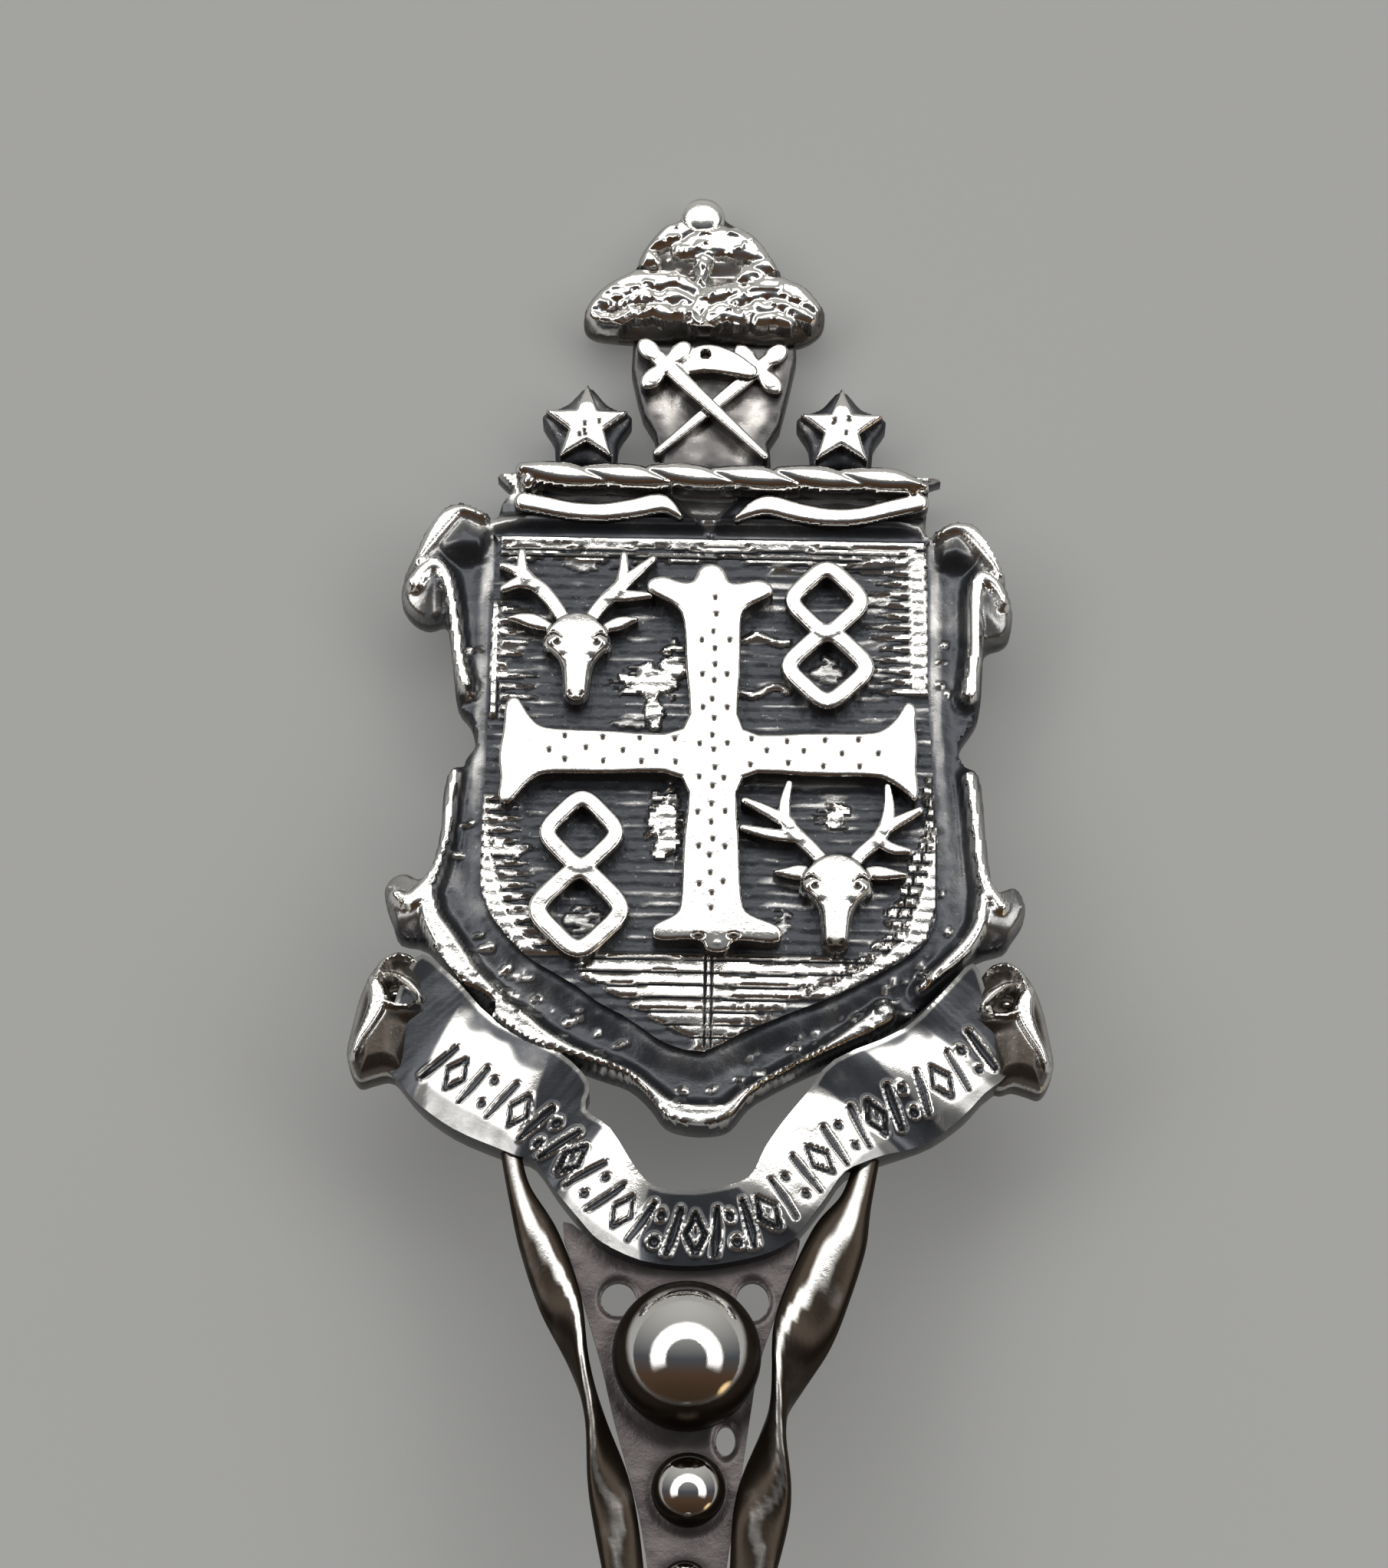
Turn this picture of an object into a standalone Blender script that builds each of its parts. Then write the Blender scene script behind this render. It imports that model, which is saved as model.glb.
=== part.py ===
"""Silver souvenir spoon: an oval bowl, an arched shaft, an openwork V stem with graduated balls and
a heraldic finial.

The spoon lies with its bowl open upwards, the bowl at -Y and the finial at +Y, and +Z is up. The origin
is under its middle, on the surface it lies on. The stem and the finial are flat work on one slanting
plane, so they are laid out in millimetres on that plane: U to the right, V towards the tip, W out of
its face. U = V = 0 is beside the middle of the cross, and W = 0 is the flat back of the plates.
"""

import math

import bmesh
import bpy
from mathutils import Vector

MM = 0.001
GAP = 0.03  # room for solder between touching pieces

# The plane of the finial
LENGTH = 118.0
SLOPE = math.radians(9.0)
TIP_V = 15.43
TIP_W = 0.9
TIP_BACK_W = 0.35  # the back of the bead on the tip, where the finial touches the table

# Heights above the finial's back
PLATE_TOP = 1.1
SHIELD_TOP = 1.4
CHARGE_TOP = 2.0
WEB_TOP = 0.35
RAIL_W = 0.75

# Bowl
BOWL_LENGTH = 36.0
BOWL_WIDTH = 24.0
BOWL_DEPTH = 6.4
BOWL_WALL = 0.9
RIM_Z = BOWL_DEPTH + BOWL_WALL
BOWL_NARROWING = 0.16
BOWL_WIDEST = 0.854  # how wide the egg shape gets, as a share of the round one

SILVER = (0.80, 0.77, 0.75, 1.0)
DARK_SILVER = (0.12, 0.12, 0.14, 1.0)


def clear_scene():
    for obj in list(bpy.data.objects):
        bpy.data.objects.remove(obj, do_unlink=True)


def new_collection(name):
    collection = bpy.data.collections.new(name)
    bpy.context.scene.collection.children.link(collection)
    return collection


def metal(name, color, roughness):
    material = bpy.data.materials.new(name)
    material.use_nodes = True
    shader = material.node_tree.nodes["Principled BSDF"]
    shader.inputs["Base Color"].default_value = color
    shader.inputs["Metallic"].default_value = 1.0
    shader.inputs["Roughness"].default_value = roughness
    return material


clear_scene()
PARTS = new_collection("souvenir_spoon")
CUTTERS = new_collection("souvenir_spoon_cutters")


def add(name, data, roughness=0.2, parent=None, color=SILVER):
    """A new object from this data, with a material of its own."""
    obj = bpy.data.objects.new(name, data)
    PARTS.objects.link(obj)
    data.materials.append(metal(name, color, roughness))
    obj.parent = parent
    return obj


def as_cutter(obj):
    """Makes the object a helper, which shapes another and isn't rendered."""
    PARTS.objects.unlink(obj)
    CUTTERS.objects.link(obj)
    obj.hide_render = True
    obj.display_type = "WIRE"
    return obj


def make_finial_frame():
    """The empty that holds the slanting plane: its X is U, its Y is V and its Z is W."""
    frame = bpy.data.objects.new("finial_frame", None)
    PARTS.objects.link(frame)
    frame.rotation_euler.x = -SLOPE
    reach = TIP_V * math.cos(SLOPE) + TIP_W * math.sin(SLOPE)
    rise = TIP_V * math.sin(SLOPE) - TIP_BACK_W * math.cos(SLOPE)
    frame.location = (0, (LENGTH / 2 - reach) * MM, rise * MM)
    return frame


FRAME = make_finial_frame()


def plane_to_world(u, v, w):
    """Where a point of the slanting plane is in the world, in metres."""
    y = FRAME.location.y + (v * math.cos(SLOPE) + w * math.sin(SLOPE)) * MM
    z = FRAME.location.z + (w * math.cos(SLOPE) - v * math.sin(SLOPE)) * MM
    return Vector((u * MM, y, z))


def rounded(spline, points, cyclic, radii=None, tilts=None):
    """Fills a Bezier spline that runs smoothly through these points, given in millimetres."""
    spline.bezier_points.add(len(points) - 1)
    for index, (point, place) in enumerate(zip(spline.bezier_points, points)):
        point.co = Vector(tuple(place) + (0,) * (3 - len(place))) * MM
        point.handle_left_type = "AUTO"
        point.handle_right_type = "AUTO"
        point.radius = radii[index] if radii else 1.0
        point.tilt = math.radians(tilts[index]) if tilts else 0.0
    spline.use_cyclic_u = cyclic


def flat_curve(name, outlines, low, high, steps, grow=0.0):
    """A plate's curve: the first outline goes around it and the others are its holes."""
    curve = bpy.data.curves.new(name, "CURVE")
    curve.dimensions = "2D"
    curve.fill_mode = "BOTH"
    curve.extrude = (high - low) / 2 * MM
    curve.offset = grow * MM
    curve.resolution_u = steps
    for outline in outlines:
        if steps > 1:
            rounded(curve.splines.new("BEZIER"), outline, True)
            continue
        spline = curve.splines.new("POLY")
        spline.points.add(len(outline) - 1)
        for point, (u, v) in zip(spline.points, outline):
            point.co = (u * MM, v * MM, 0, 1)
        spline.use_cyclic_u = True
    return curve


def plate(name, outlines, low, high, steps=1, color=SILVER, roughness=0.2):
    """A flat piece from W = low to W = high; steps over 1 round its outlines."""
    obj = add(name, flat_curve(name, outlines, low, high, steps), roughness, FRAME, color)
    obj.location.z = (low + high) / 2 * MM
    return obj


def wire(name, points, radius, radii=None, steps=4):
    """A round wire through these points of the plane."""
    curve = bpy.data.curves.new(name, "CURVE")
    curve.dimensions = "3D"
    curve.bevel_depth = radius * MM
    curve.bevel_resolution = 1
    curve.use_fill_caps = True
    curve.resolution_u = steps
    rounded(curve.splines.new("BEZIER"), points, False, radii)
    return add(name, curve, 0.2, FRAME)


def room_for(name, outline):
    """A cutter that leaves room for the plate with this outline in the pieces that butt against it."""
    curve = flat_curve(name, (outline,), -2.0, 4.0, 1, GAP)
    return as_cutter(as_mesh(add(name, curve, 0.2, FRAME)))


def as_mesh(obj):
    """Turns a curve object into a mesh object with welded caps, so that it can join others."""
    bpy.context.view_layer.update()
    graph = bpy.context.evaluated_depsgraph_get()
    mesh = bpy.data.meshes.new_from_object(obj.evaluated_get(graph))
    shape = bmesh.new()
    shape.from_mesh(mesh)
    bmesh.ops.remove_doubles(shape, verts=shape.verts, dist=1e-7)
    bmesh.ops.recalc_face_normals(shape, faces=shape.faces)
    shape.to_mesh(mesh)
    shape.free()
    name = obj.name
    parent = obj.parent
    place = obj.matrix_local.copy()
    bpy.data.objects.remove(obj, do_unlink=True)
    solid = bpy.data.objects.new(name, mesh)
    PARTS.objects.link(solid)
    solid.parent = parent
    solid.matrix_local = place
    return solid


def blob(name, center, radii, segments=10, rings=6, turn=0.0):
    """An ellipsoid on the slanting plane, turned by so many degrees in it."""
    mesh = bpy.data.meshes.new(name)
    shape = bmesh.new()
    bmesh.ops.create_uvsphere(shape, u_segments=segments, v_segments=rings, radius=1.0)
    bmesh.ops.scale(shape, vec=Vector(radii) * MM, verts=shape.verts)
    shape.to_mesh(mesh)
    shape.free()
    obj = add(name, mesh, 0.2, FRAME)
    obj.location = Vector(center) * MM
    obj.rotation_euler.z = math.radians(turn)
    return obj


def boolean(obj, other, operation, solver="EXACT"):
    modifier = obj.modifiers.new(other.name, "BOOLEAN")
    modifier.operation = operation
    modifier.object = other
    modifier.solver = solver


def union(base, others):
    """One solid from overlapping ones: the base takes the others in."""
    for other in others:
        boolean(base, as_cutter(other), "UNION", "MANIFOLD")
    return base


def cut_below(obj, height, name):
    """Cuts the object flat at this height of the plane."""
    size = 80 * MM
    mesh = bpy.data.meshes.new(name)
    shape = bmesh.new()
    bmesh.ops.create_cube(shape, size=size)
    shape.to_mesh(mesh)
    shape.free()
    block = add(name, mesh, 0.2, FRAME)
    block.location = (0, 0, height * MM - size / 2)
    boolean(obj, as_cutter(block), "DIFFERENCE", "MANIFOLD")


# --- bowl, shaft and collar -------------------------------------------------------------------------

BOWL_Y = -LENGTH / 2 + BOWL_LENGTH / 2


def bowl_surface(name, outer_gap):
    """The lower half of an egg-shaped shell, open at the rim and narrower towards its tip."""
    mesh = bpy.data.meshes.new(name)
    shape = bmesh.new()
    bmesh.ops.create_uvsphere(shape, u_segments=28, v_segments=16, radius=1.0)
    cut = shape.verts[:] + shape.edges[:] + shape.faces[:]
    bmesh.ops.bisect_plane(shape, geom=cut, plane_co=(0, 0, 0), plane_no=(0, 0, 1), clear_outer=True)
    half_width = BOWL_WIDTH / 2 / BOWL_WIDEST + outer_gap
    half_length = BOWL_LENGTH / 2 + outer_gap
    for vertex in shape.verts:
        x, y, z = vertex.co
        narrowing = 1 - BOWL_NARROWING * (1 - y) * (1 + z * 0.3)
        fullness = -((-z) ** 0.86) if z < 0 else 0.0
        vertex.co = (x * half_width * narrowing * MM, y * half_length * MM,
            fullness * (RIM_Z + outer_gap) * MM)
    return mesh, shape


def make_bowl():
    mesh, shape = bowl_surface("bowl", 0)
    shape.to_mesh(mesh)
    shape.free()
    bowl = add("bowl", mesh, 0.15)
    bowl.location = (0, BOWL_Y * MM, RIM_Z * MM)
    wall = bowl.modifiers.new("wall", "SOLIDIFY")
    wall.thickness = BOWL_WALL * MM
    wall.offset = -1
    wall.use_even_offset = True
    return bowl


def make_bowl_cutter():
    """A solid slightly larger than the bowl, which leaves room for it in the shaft and the heel."""
    mesh, shape = bowl_surface("bowl_room", GAP)
    rim = [edge for edge in shape.edges if edge.is_boundary]
    top = bmesh.ops.extrude_edge_only(shape, edges=rim)["geom"]
    moved = [item for item in top if isinstance(item, bmesh.types.BMVert)]
    bmesh.ops.translate(shape, vec=(0, 0, 6 * MM), verts=moved)
    bmesh.ops.holes_fill(shape, edges=[edge for edge in shape.edges if edge.is_boundary])
    bmesh.ops.recalc_face_normals(shape, faces=shape.faces)
    shape.to_mesh(mesh)
    shape.free()
    cutter = add("bowl_room", mesh)
    cutter.location = (0, BOWL_Y * MM, RIM_Z * MM)
    return as_cutter(cutter)


def ellipse_profile(name, width, thickness, segments=12):
    """The closed section that a rail or the shaft sweeps along its line."""
    curve = bpy.data.curves.new(name, "CURVE")
    curve.dimensions = "2D"
    curve.fill_mode = "NONE"
    spline = curve.splines.new("POLY")
    spline.points.add(segments - 1)
    for index, point in enumerate(spline.points):
        angle = 2 * math.pi * index / segments
        point.co = (width / 2 * math.cos(angle) * MM, thickness / 2 * math.sin(angle) * MM, 0, 1)
    spline.use_cyclic_u = True
    obj = bpy.data.objects.new(name, curve)
    PARTS.objects.link(obj)
    return as_cutter(obj)


def swept_bar(name, points, profile, radii, tilts=None, parent=None, steps=4):
    """A solid bar with this section along a smooth line; radii scale it and tilts twist it."""
    curve = bpy.data.curves.new(name, "CURVE")
    curve.dimensions = "3D"
    curve.twist_mode = "Z_UP"
    curve.bevel_mode = "OBJECT"
    curve.bevel_object = profile
    curve.use_fill_caps = True
    curve.resolution_u = steps
    rounded(curve.splines.new("BEZIER"), points, False, radii, tilts)
    return as_mesh(add(name, curve, 0.2, parent))


STEM_END_V = -33.0


def make_shaft(bowl_room):
    """The arched shaft: it leaves the stem along the slope, peaks and runs down under the bowl's rim."""
    start = plane_to_world(0, STEM_END_V, 0.8) / MM
    line = [
        (0, start.y, start.z),
        (0, start.y - 8.0, start.z + 1.15),
        (0, -6.0, 10.2),
        (0, -15.0, 9.1),
        (0, -21.0, 7.2),
        (0, -26.0, 4.6),
        (0, -31.0, 1.9),
    ]
    profile = ellipse_profile("shaft_section", 2.4, 1.7, 14)
    shaft = swept_bar("stem_shaft", line, profile, (1.0, 0.95, 0.95, 1.1, 1.35, 1.3, 0.5))
    boolean(shaft, bowl_room, "DIFFERENCE")


def make_collar():
    """The small moulding where the two rails run together: a turned profile on the slanting line."""
    profile = ((0.0, 1.1), (1.1, 1.1), (1.45, 0.75), (1.25, 0.4), (1.25, 0.1), (1.6, -0.35),
        (1.25, -0.8), (0.0, -0.8))
    mesh = bpy.data.meshes.new("stem_collar")
    shape = bmesh.new()
    corners = [shape.verts.new((radius * MM, 0, height * MM)) for radius, height in profile]
    for first, second in zip(corners, corners[1:]):
        shape.edges.new((first, second))
    shape.to_mesh(mesh)
    shape.free()
    collar = add("stem_collar", mesh, 0.2, FRAME)
    collar.location = Vector((0, STEM_END_V + 1.0, 0.8)) * MM
    collar.rotation_euler.x = -math.pi / 2
    turn = collar.modifiers.new("turn", "SCREW")
    turn.steps = 20
    turn.render_steps = 20
    turn.use_merge_vertices = True
    turn.merge_threshold = 0.00001
    turn.use_normal_calculate = True


# --- V stem -----------------------------------------------------------------------------------------

# Each rail is a flat bar that twists over as it runs down: U, V, width and twist in degrees.
LEFT_RAIL = (
    (-4.75, -10.3, 0.5, 0),
    (-4.5, -11.3, 0.6, 0),
    (-4.0, -12.5, 1.05, 0),
    (-3.45, -14.0, 1.15, 15),
    (-2.92, -15.6, 0.95, 70),
    (-2.45, -17.1, 0.85, 110),
    (-1.98, -19.2, 1.1, 180),
    (-1.62, -21.2, 1.0, 180),
    (-1.25, -23.6, 0.75, 270),
    (-0.98, -26.6, 0.85, 350),
    (-0.78, -29.5, 0.65, 360),
    (-0.7, -30.85, 0.6, 360),
)
RIGHT_RAIL = (
    (4.3, -10.2, 0.6, 0),
    (4.0, -11.4, 0.8, 0),
    (3.55, -12.5, 1.45, 0),
    (2.85, -14.4, 1.65, -10),
    (2.35, -16.0, 1.45, -60),
    (1.98, -17.4, 1.2, -110),
    (1.72, -19.4, 1.4, -180),
    (1.48, -21.2, 1.1, -180),
    (1.2, -23.6, 0.8, -270),
    (0.98, -26.6, 0.85, -350),
    (0.78, -29.5, 0.65, -360),
    (0.7, -30.85, 0.6, -360),
)
# Graduated balls down the middle: name, U, V and radius.
BALLS = (
    ("ball_large", -0.2, -15.6, 1.85),
    ("ball_middle", -0.1, -18.87, 0.92),
    ("ball_small", -0.15, -21.2, 0.61),
    ("ball_smallest", -0.05, -22.9, 0.43),
)


def make_rails(ribbon_room):
    profile = ellipse_profile("rail_section", 1.0, 0.45, 10)
    for name, rail in (("rail_left", LEFT_RAIL), ("rail_right", RIGHT_RAIL)):
        line = [(u, v, RAIL_W) for u, v, _, _ in rail]
        widths = [width for _, _, width, _ in rail]
        twists = [twist for _, _, _, twist in rail]
        bar = swept_bar(name, line, profile, widths, twists, FRAME, steps=3)
        boolean(bar, ribbon_room, "DIFFERENCE")


def ring_outline(u, v, radius_u, radius_v, count=12):
    angles = [2 * math.pi * index / count for index in range(count)]
    return [(u + radius_u * math.cos(angle), v + radius_v * math.sin(angle)) for angle in angles]


def make_web():
    """The pierced plate between the rails, which carries the balls."""
    outline = (
        (-3.3, -12.0), (-2.3, -13.0), (-1.4, -13.33), (0.0, -13.42), (1.3, -13.2), (2.1, -12.85),
        (2.4, -12.75),
        (1.85, -14.3), (1.45, -15.6), (1.2, -17.3), (1.0, -18.8), (0.72, -20.9), (0.62, -22.9),
        (0.42, -26.0),
        (-0.42, -26.0), (-0.65, -22.9), (-1.02, -20.3), (-1.3, -18.9), (-1.85, -17.0), (-2.2, -15.6),
        (-2.75, -13.8),
    )
    holes = (
        ring_outline(-1.95, -13.95, 0.36, 0.36),
        ring_outline(1.3, -13.95, 0.36, 0.36),
        ring_outline(0.72, -17.65, 0.26, 0.24),
    )
    plate("web_plate", (outline,) + holes, 0.0, WEB_TOP, color=SILVER)


def make_balls():
    for name, u, v, radius in BALLS:
        foot = WEB_TOP + GAP
        rounds = 20 if radius > 1 else 14
        ball = blob(name, (u, v, foot + 0.55 * radius), (radius,) * 3, rounds, rounds // 2)
        cut_below(ball, foot, name + "_foot")


# --- finial: cartouche, shield and charges ----------------------------------------------------------

LEFT_EDGE = (
    (-4.75, 8.2), (-5.2, 7.55), (-5.5, 6.8), (-6.45, 7.2), (-7.0, 6.7), (-7.65, 5.8), (-8.0, 4.8),
    (-7.9, 4.2),
    (-7.3, 3.75), (-6.8, 3.9), (-6.6, 2.4), (-6.1, 1.2), (-5.95, 0.5), (-6.25, 0.0), (-6.7, -0.9),
    (-6.9, -2.5),
    (-7.3, -3.15), (-8.0, -3.1), (-8.2, -3.7), (-7.85, -4.6), (-7.0, -4.95), (-6.2, -5.9), (-5.3, -6.9),
)
BASE_EDGE = (
    (-4.1, -7.6), (-2.5, -8.15), (-1.7, -8.55), (-0.9, -9.4), (0.0, -9.68), (0.8, -9.5), (1.3, -8.9),
    (2.5, -8.15),
    (4.1, -7.4),
)
RIGHT_EDGE = (
    (5.4, -6.6), (6.3, -5.7), (7.0, -5.0), (7.9, -4.5), (8.3, -3.6), (8.0, -3.15), (7.45, -3.2),
    (7.25, -1.6),
    (7.05, -0.1), (6.6, 0.5), (7.0, 1.3), (7.1, 2.6), (7.3, 3.4), (7.9, 3.75), (7.9, 4.7), (7.5, 5.6),
    (7.0, 6.5),
    (6.4, 6.8), (5.75, 6.5), (5.65, 7.5), (5.35, 8.2),
)
CARTOUCHE_EDGE = LEFT_EDGE + BASE_EDGE + RIGHT_EDGE
SHIELD_EDGE = (
    (-5.45, 5.95), (-5.5, 1.0), (-5.55, -3.2), (-5.35, -4.2), (-4.6, -5.1), (-2.7, -6.4), (0.05, -7.65),
    (2.7, -6.4),
    (4.8, -5.35), (5.6, -4.6), (5.85, -3.5), (5.8, -1.5), (5.6, 2.0), (5.5, 6.0),
)

CROSS_U = 0.2
CROSS_V = 0.0
CROSS_HALF_BAR = 0.66
CROSS_HALF_POST = 0.7


def cross_arm(reach, half_width, flare_from, half_flare, flare_at):
    """Half of one arm's outline, as (along, across) points: a straight bar, then a flare with a blunt point."""
    return (
        (half_width, half_width),
        (flare_from, half_width),
        (flare_from + 0.35 * (flare_at - flare_from), half_width + 0.3 * (half_flare - half_width)),
        (flare_at, half_flare),
        (flare_at + 0.28, half_flare * 0.85),
        (reach - 0.12, 0.35),
        (reach, 0.0),
    )


def cross_outline():
    """Four flared arms around the middle, counter-clockwise from the right arm."""
    arms = (
        (0, cross_arm(5.15, CROSS_HALF_BAR, 4.1, 1.3, 4.85)),
        (90, cross_arm(5.2, CROSS_HALF_POST, 3.7, 1.6, 4.6)),
        (180, cross_arm(5.4, CROSS_HALF_BAR, 4.4, 1.35, 5.05)),
        (270, cross_arm(5.3, CROSS_HALF_POST, 3.8, 1.55, 4.8)),
    )
    outline = []
    for angle, arm in arms:
        lower = [(along, -across) for along, across in arm[1:]]
        upper = [(along, across) for along, across in reversed(arm[1:-1])]
        corner = [(CROSS_HALF_POST, CROSS_HALF_BAR) if angle % 180 == 0 else (CROSS_HALF_BAR,
            CROSS_HALF_POST)]
        cosine = round(math.cos(math.radians(angle)))
        sine = round(math.sin(math.radians(angle)))
        for along, across in lower + upper + corner:
            outline.append((CROSS_U + along * cosine - across * sine,
                CROSS_V + along * sine + across * cosine))
    return outline


def lozenge(u, v, half_width, half_height):
    return [(u - half_width, v), (u, v - half_height), (u + half_width, v), (u, v + half_height)]


def make_lozenge_pair(name, u, upper_v, lower_v):
    """Two open lozenges, one under the other, joined where they meet."""
    waist = (upper_v + lower_v) / 2
    outline = (
        (u - 1.08, lower_v), (u, lower_v - 1.15), (u + 1.08, lower_v), (u + 0.22, waist),
        (u + 1.02, upper_v), (u, upper_v + 1.1), (u - 1.02, upper_v), (u - 0.22, waist),
    )
    holes = (lozenge(u, upper_v, 0.62, 0.62), lozenge(u, lower_v, 0.68, 0.68))
    plate(name, (outline,) + holes, SHIELD_TOP + GAP, SHIELD_TOP + 0.45)


def make_stag_head(name, u, v, size, antlers):
    """A stag's head seen from the front, v at its eyes: skull, muzzle, eyes, ears and two branched antlers."""
    floor = SHIELD_TOP + GAP
    skull = blob(name, (u, v, floor + 0.35), (0.72 * size, 0.62 * size, 0.55), 12, 8)
    pieces = [
        blob(name + "_muzzle", (u, v - 0.95 * size, floor + 0.3), (0.4 * size, 0.85 * size, 0.5)),
        blob(name + "_eye_left", (u - 0.45 * size, v + 0.05, floor + 0.5), (0.27, 0.24, 0.3), 8, 6),
        blob(name + "_eye_right", (u + 0.45 * size, v + 0.05, floor + 0.5), (0.27, 0.24, 0.3), 8, 6),
        blob(name + "_ear_left", (u - 1.15 * size, v + 0.28, floor + 0.2), (0.62, 0.2, 0.28), 8, 6, -8),
        blob(name + "_ear_right", (u + 1.15 * size, v + 0.28, floor + 0.2), (0.62, 0.2, 0.28), 8, 6, 8),
    ]
    for index, branch in enumerate(antlers):
        line = [(a, b, floor + 0.22) for a, b in branch]
        pieces.append(as_mesh(wire(f"{name}_antler_{index}", line, 0.16, steps=2)))
    union(skull, pieces)
    cut_below(skull, floor, name + "_floor")


UPPER_ANTLERS = (
    ((-3.55, 3.4), (-3.95, 4.0), (-4.6, 4.55), (-4.83, 5.35)),
    ((-4.5, 4.45), (-5.3, 4.35)),
    ((-3.2, 3.4), (-2.8, 4.0), (-2.2, 4.6), (-1.7, 5.1)),
    ((-2.4, 4.35), (-2.2, 5.3)),
    ((-2.5, 4.3), (-1.6, 4.25)),
)
LOWER_ANTLERS = (
    ((3.2, -3.1), (2.6, -2.4), (2.05, -1.75), (2.1, -0.95)),
    ((2.2, -1.9), (1.05, -1.25)),
    ((2.45, -2.2), (1.0, -2.0)),
    ((3.6, -3.1), (4.25, -2.45), (4.5, -1.75), (4.4, -0.95)),
    ((4.45, -1.95), (5.2, -1.75)),
    ((4.4, -2.25), (5.15, -2.5)),
)


def make_cartouche():
    plate("finial_plate", (CARTOUCHE_EDGE,), 0.0, PLATE_TOP)
    plate("shield", (SHIELD_EDGE,), PLATE_TOP + GAP, SHIELD_TOP, color=DARK_SILVER, roughness=0.5)
    plate("cross", (cross_outline(),), SHIELD_TOP + GAP, CHARGE_TOP)
    make_stag_head("stag_head_upper", -3.35, 2.95, 1.0, UPPER_ANTLERS)
    make_stag_head("stag_head_lower", 3.4, -3.4, 1.05, LOWER_ANTLERS)
    make_lozenge_pair("lozenges_upper", 3.08, 4.25, 2.4)
    make_lozenge_pair("lozenges_lower", -3.12, -2.15, -4.2)


RIM_RADIUS = 0.13
RIMS = (
    ("rim_upper_left", ((-7.65, 4.85), (-7.38, 5.2), (-7.1, 5.3), (-6.85, 5.0), (-6.65, 4.3),
        (-6.42, 2.8), (-6.12, 1.75))),
    ("rim_upper_right", ((7.6, 4.7), (7.35, 5.05), (7.1, 5.1), (6.9, 4.85), (6.85, 3.9), (6.8, 2.9),
        (6.7, 1.9))),
    ("rim_lower_left", ((-6.25, -0.5), (-6.45, -2.0), (-6.65, -2.7), (-7.05, -3.6), (-7.5, -3.95),
        (-7.85, -3.8))),
    ("rim_lower_right", ((6.7, -0.3), (6.95, -2.0), (7.05, -2.8), (7.25, -3.4), (7.65, -3.9), (8.0, -3.7))),
    ("rim_diagonal_left", ((-7.1, -4.3), (-6.75, -4.65), (-6.4, -5.2), (-6.05, -5.75), (-5.55, -6.2),
        (-5.1, -6.6))),
    ("rim_diagonal_right", ((7.35, -4.3), (7.1, -4.5), (6.75, -4.95), (6.3, -5.4), (5.75, -6.0))),
    ("rim_base", ((-4.95, -6.85), (-4.1, -7.4), (-2.6, -7.95), (-1.75, -8.3), (-1.0, -9.1),
        (0.0, -9.45), (0.85, -9.25),
                  (1.35, -8.6), (2.5, -7.95), (4.1, -7.15), (5.2, -6.5))),
)


def make_rims():
    """Raised wires that edge the cartouche and curl over at its scrolls."""
    for name, line in RIMS:
        wire(name, [(u, v, PLATE_TOP + GAP + RIM_RADIUS) for u, v in line], RIM_RADIUS, steps=3)


# --- torse, crest and stars -------------------------------------------------------------------------

TORSE_LEFT = -4.7
TORSE_RIGHT = 5.3
TORSE_V = 7.68
TORSE_STRANDS = 6


def make_torse():
    """A twisted rope bar: slanted strands side by side, joined into one solid."""
    pitch = (TORSE_RIGHT - TORSE_LEFT) / TORSE_STRANDS
    height = PLATE_TOP + GAP + 0.1
    strands = []
    for index in range(TORSE_STRANDS):
        place = (TORSE_LEFT + (index + 0.5) * pitch, TORSE_V, height)
        strands.append(blob(f"torse_strand_{index}", place, (pitch * 0.62, 0.36, 0.5), 12, 6, -14))
    rope = strands[0]
    rope.name = "torse_rope"
    union(rope, strands[1:])
    cut_below(rope, PLATE_TOP + GAP, "torse_foot")


def make_torse_bands():
    """The two ribbon ends that hang under the torse and hook in at the notch above the shield."""
    bands = (
        ("torse_band_left", ((-4.75, 6.85), (-3.9, 6.65), (-3.0, 6.62), (-1.9, 6.9), (-1.2, 7.0),
            (-0.85, 6.65))),
        ("torse_band_right", ((5.35, 7.0), (4.2, 6.7), (3.1, 6.62), (2.0, 6.9), (1.3, 6.98), (0.85, 6.6))),
    )
    for name, line in bands:
        wire(name, [(u, v, PLATE_TOP + GAP + 0.16) for u, v in line], 0.16, steps=3)


def star_outline(u, v, tip_radius, notch_radius, turn):
    """A five-pointed star."""
    outline = []
    for index in range(10):
        radius = notch_radius if index % 2 else tip_radius
        angle = math.radians(90 + turn + 36 * index)
        outline.append((u + radius * math.cos(angle), v + radius * math.sin(angle)))
    return outline


def make_stars():
    for side, u, v in (("left", -3.27, 9.2), ("right", 3.42, 9.2)):
        plate(f"star_pad_{side}", (star_outline(u, v, 1.22, 0.85, 0),), 0.2, 0.95, steps=3)
        plate(f"star_{side}", (star_outline(u, v, 1.05, 0.45, 0),), 0.95 + GAP, 1.45)


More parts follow.
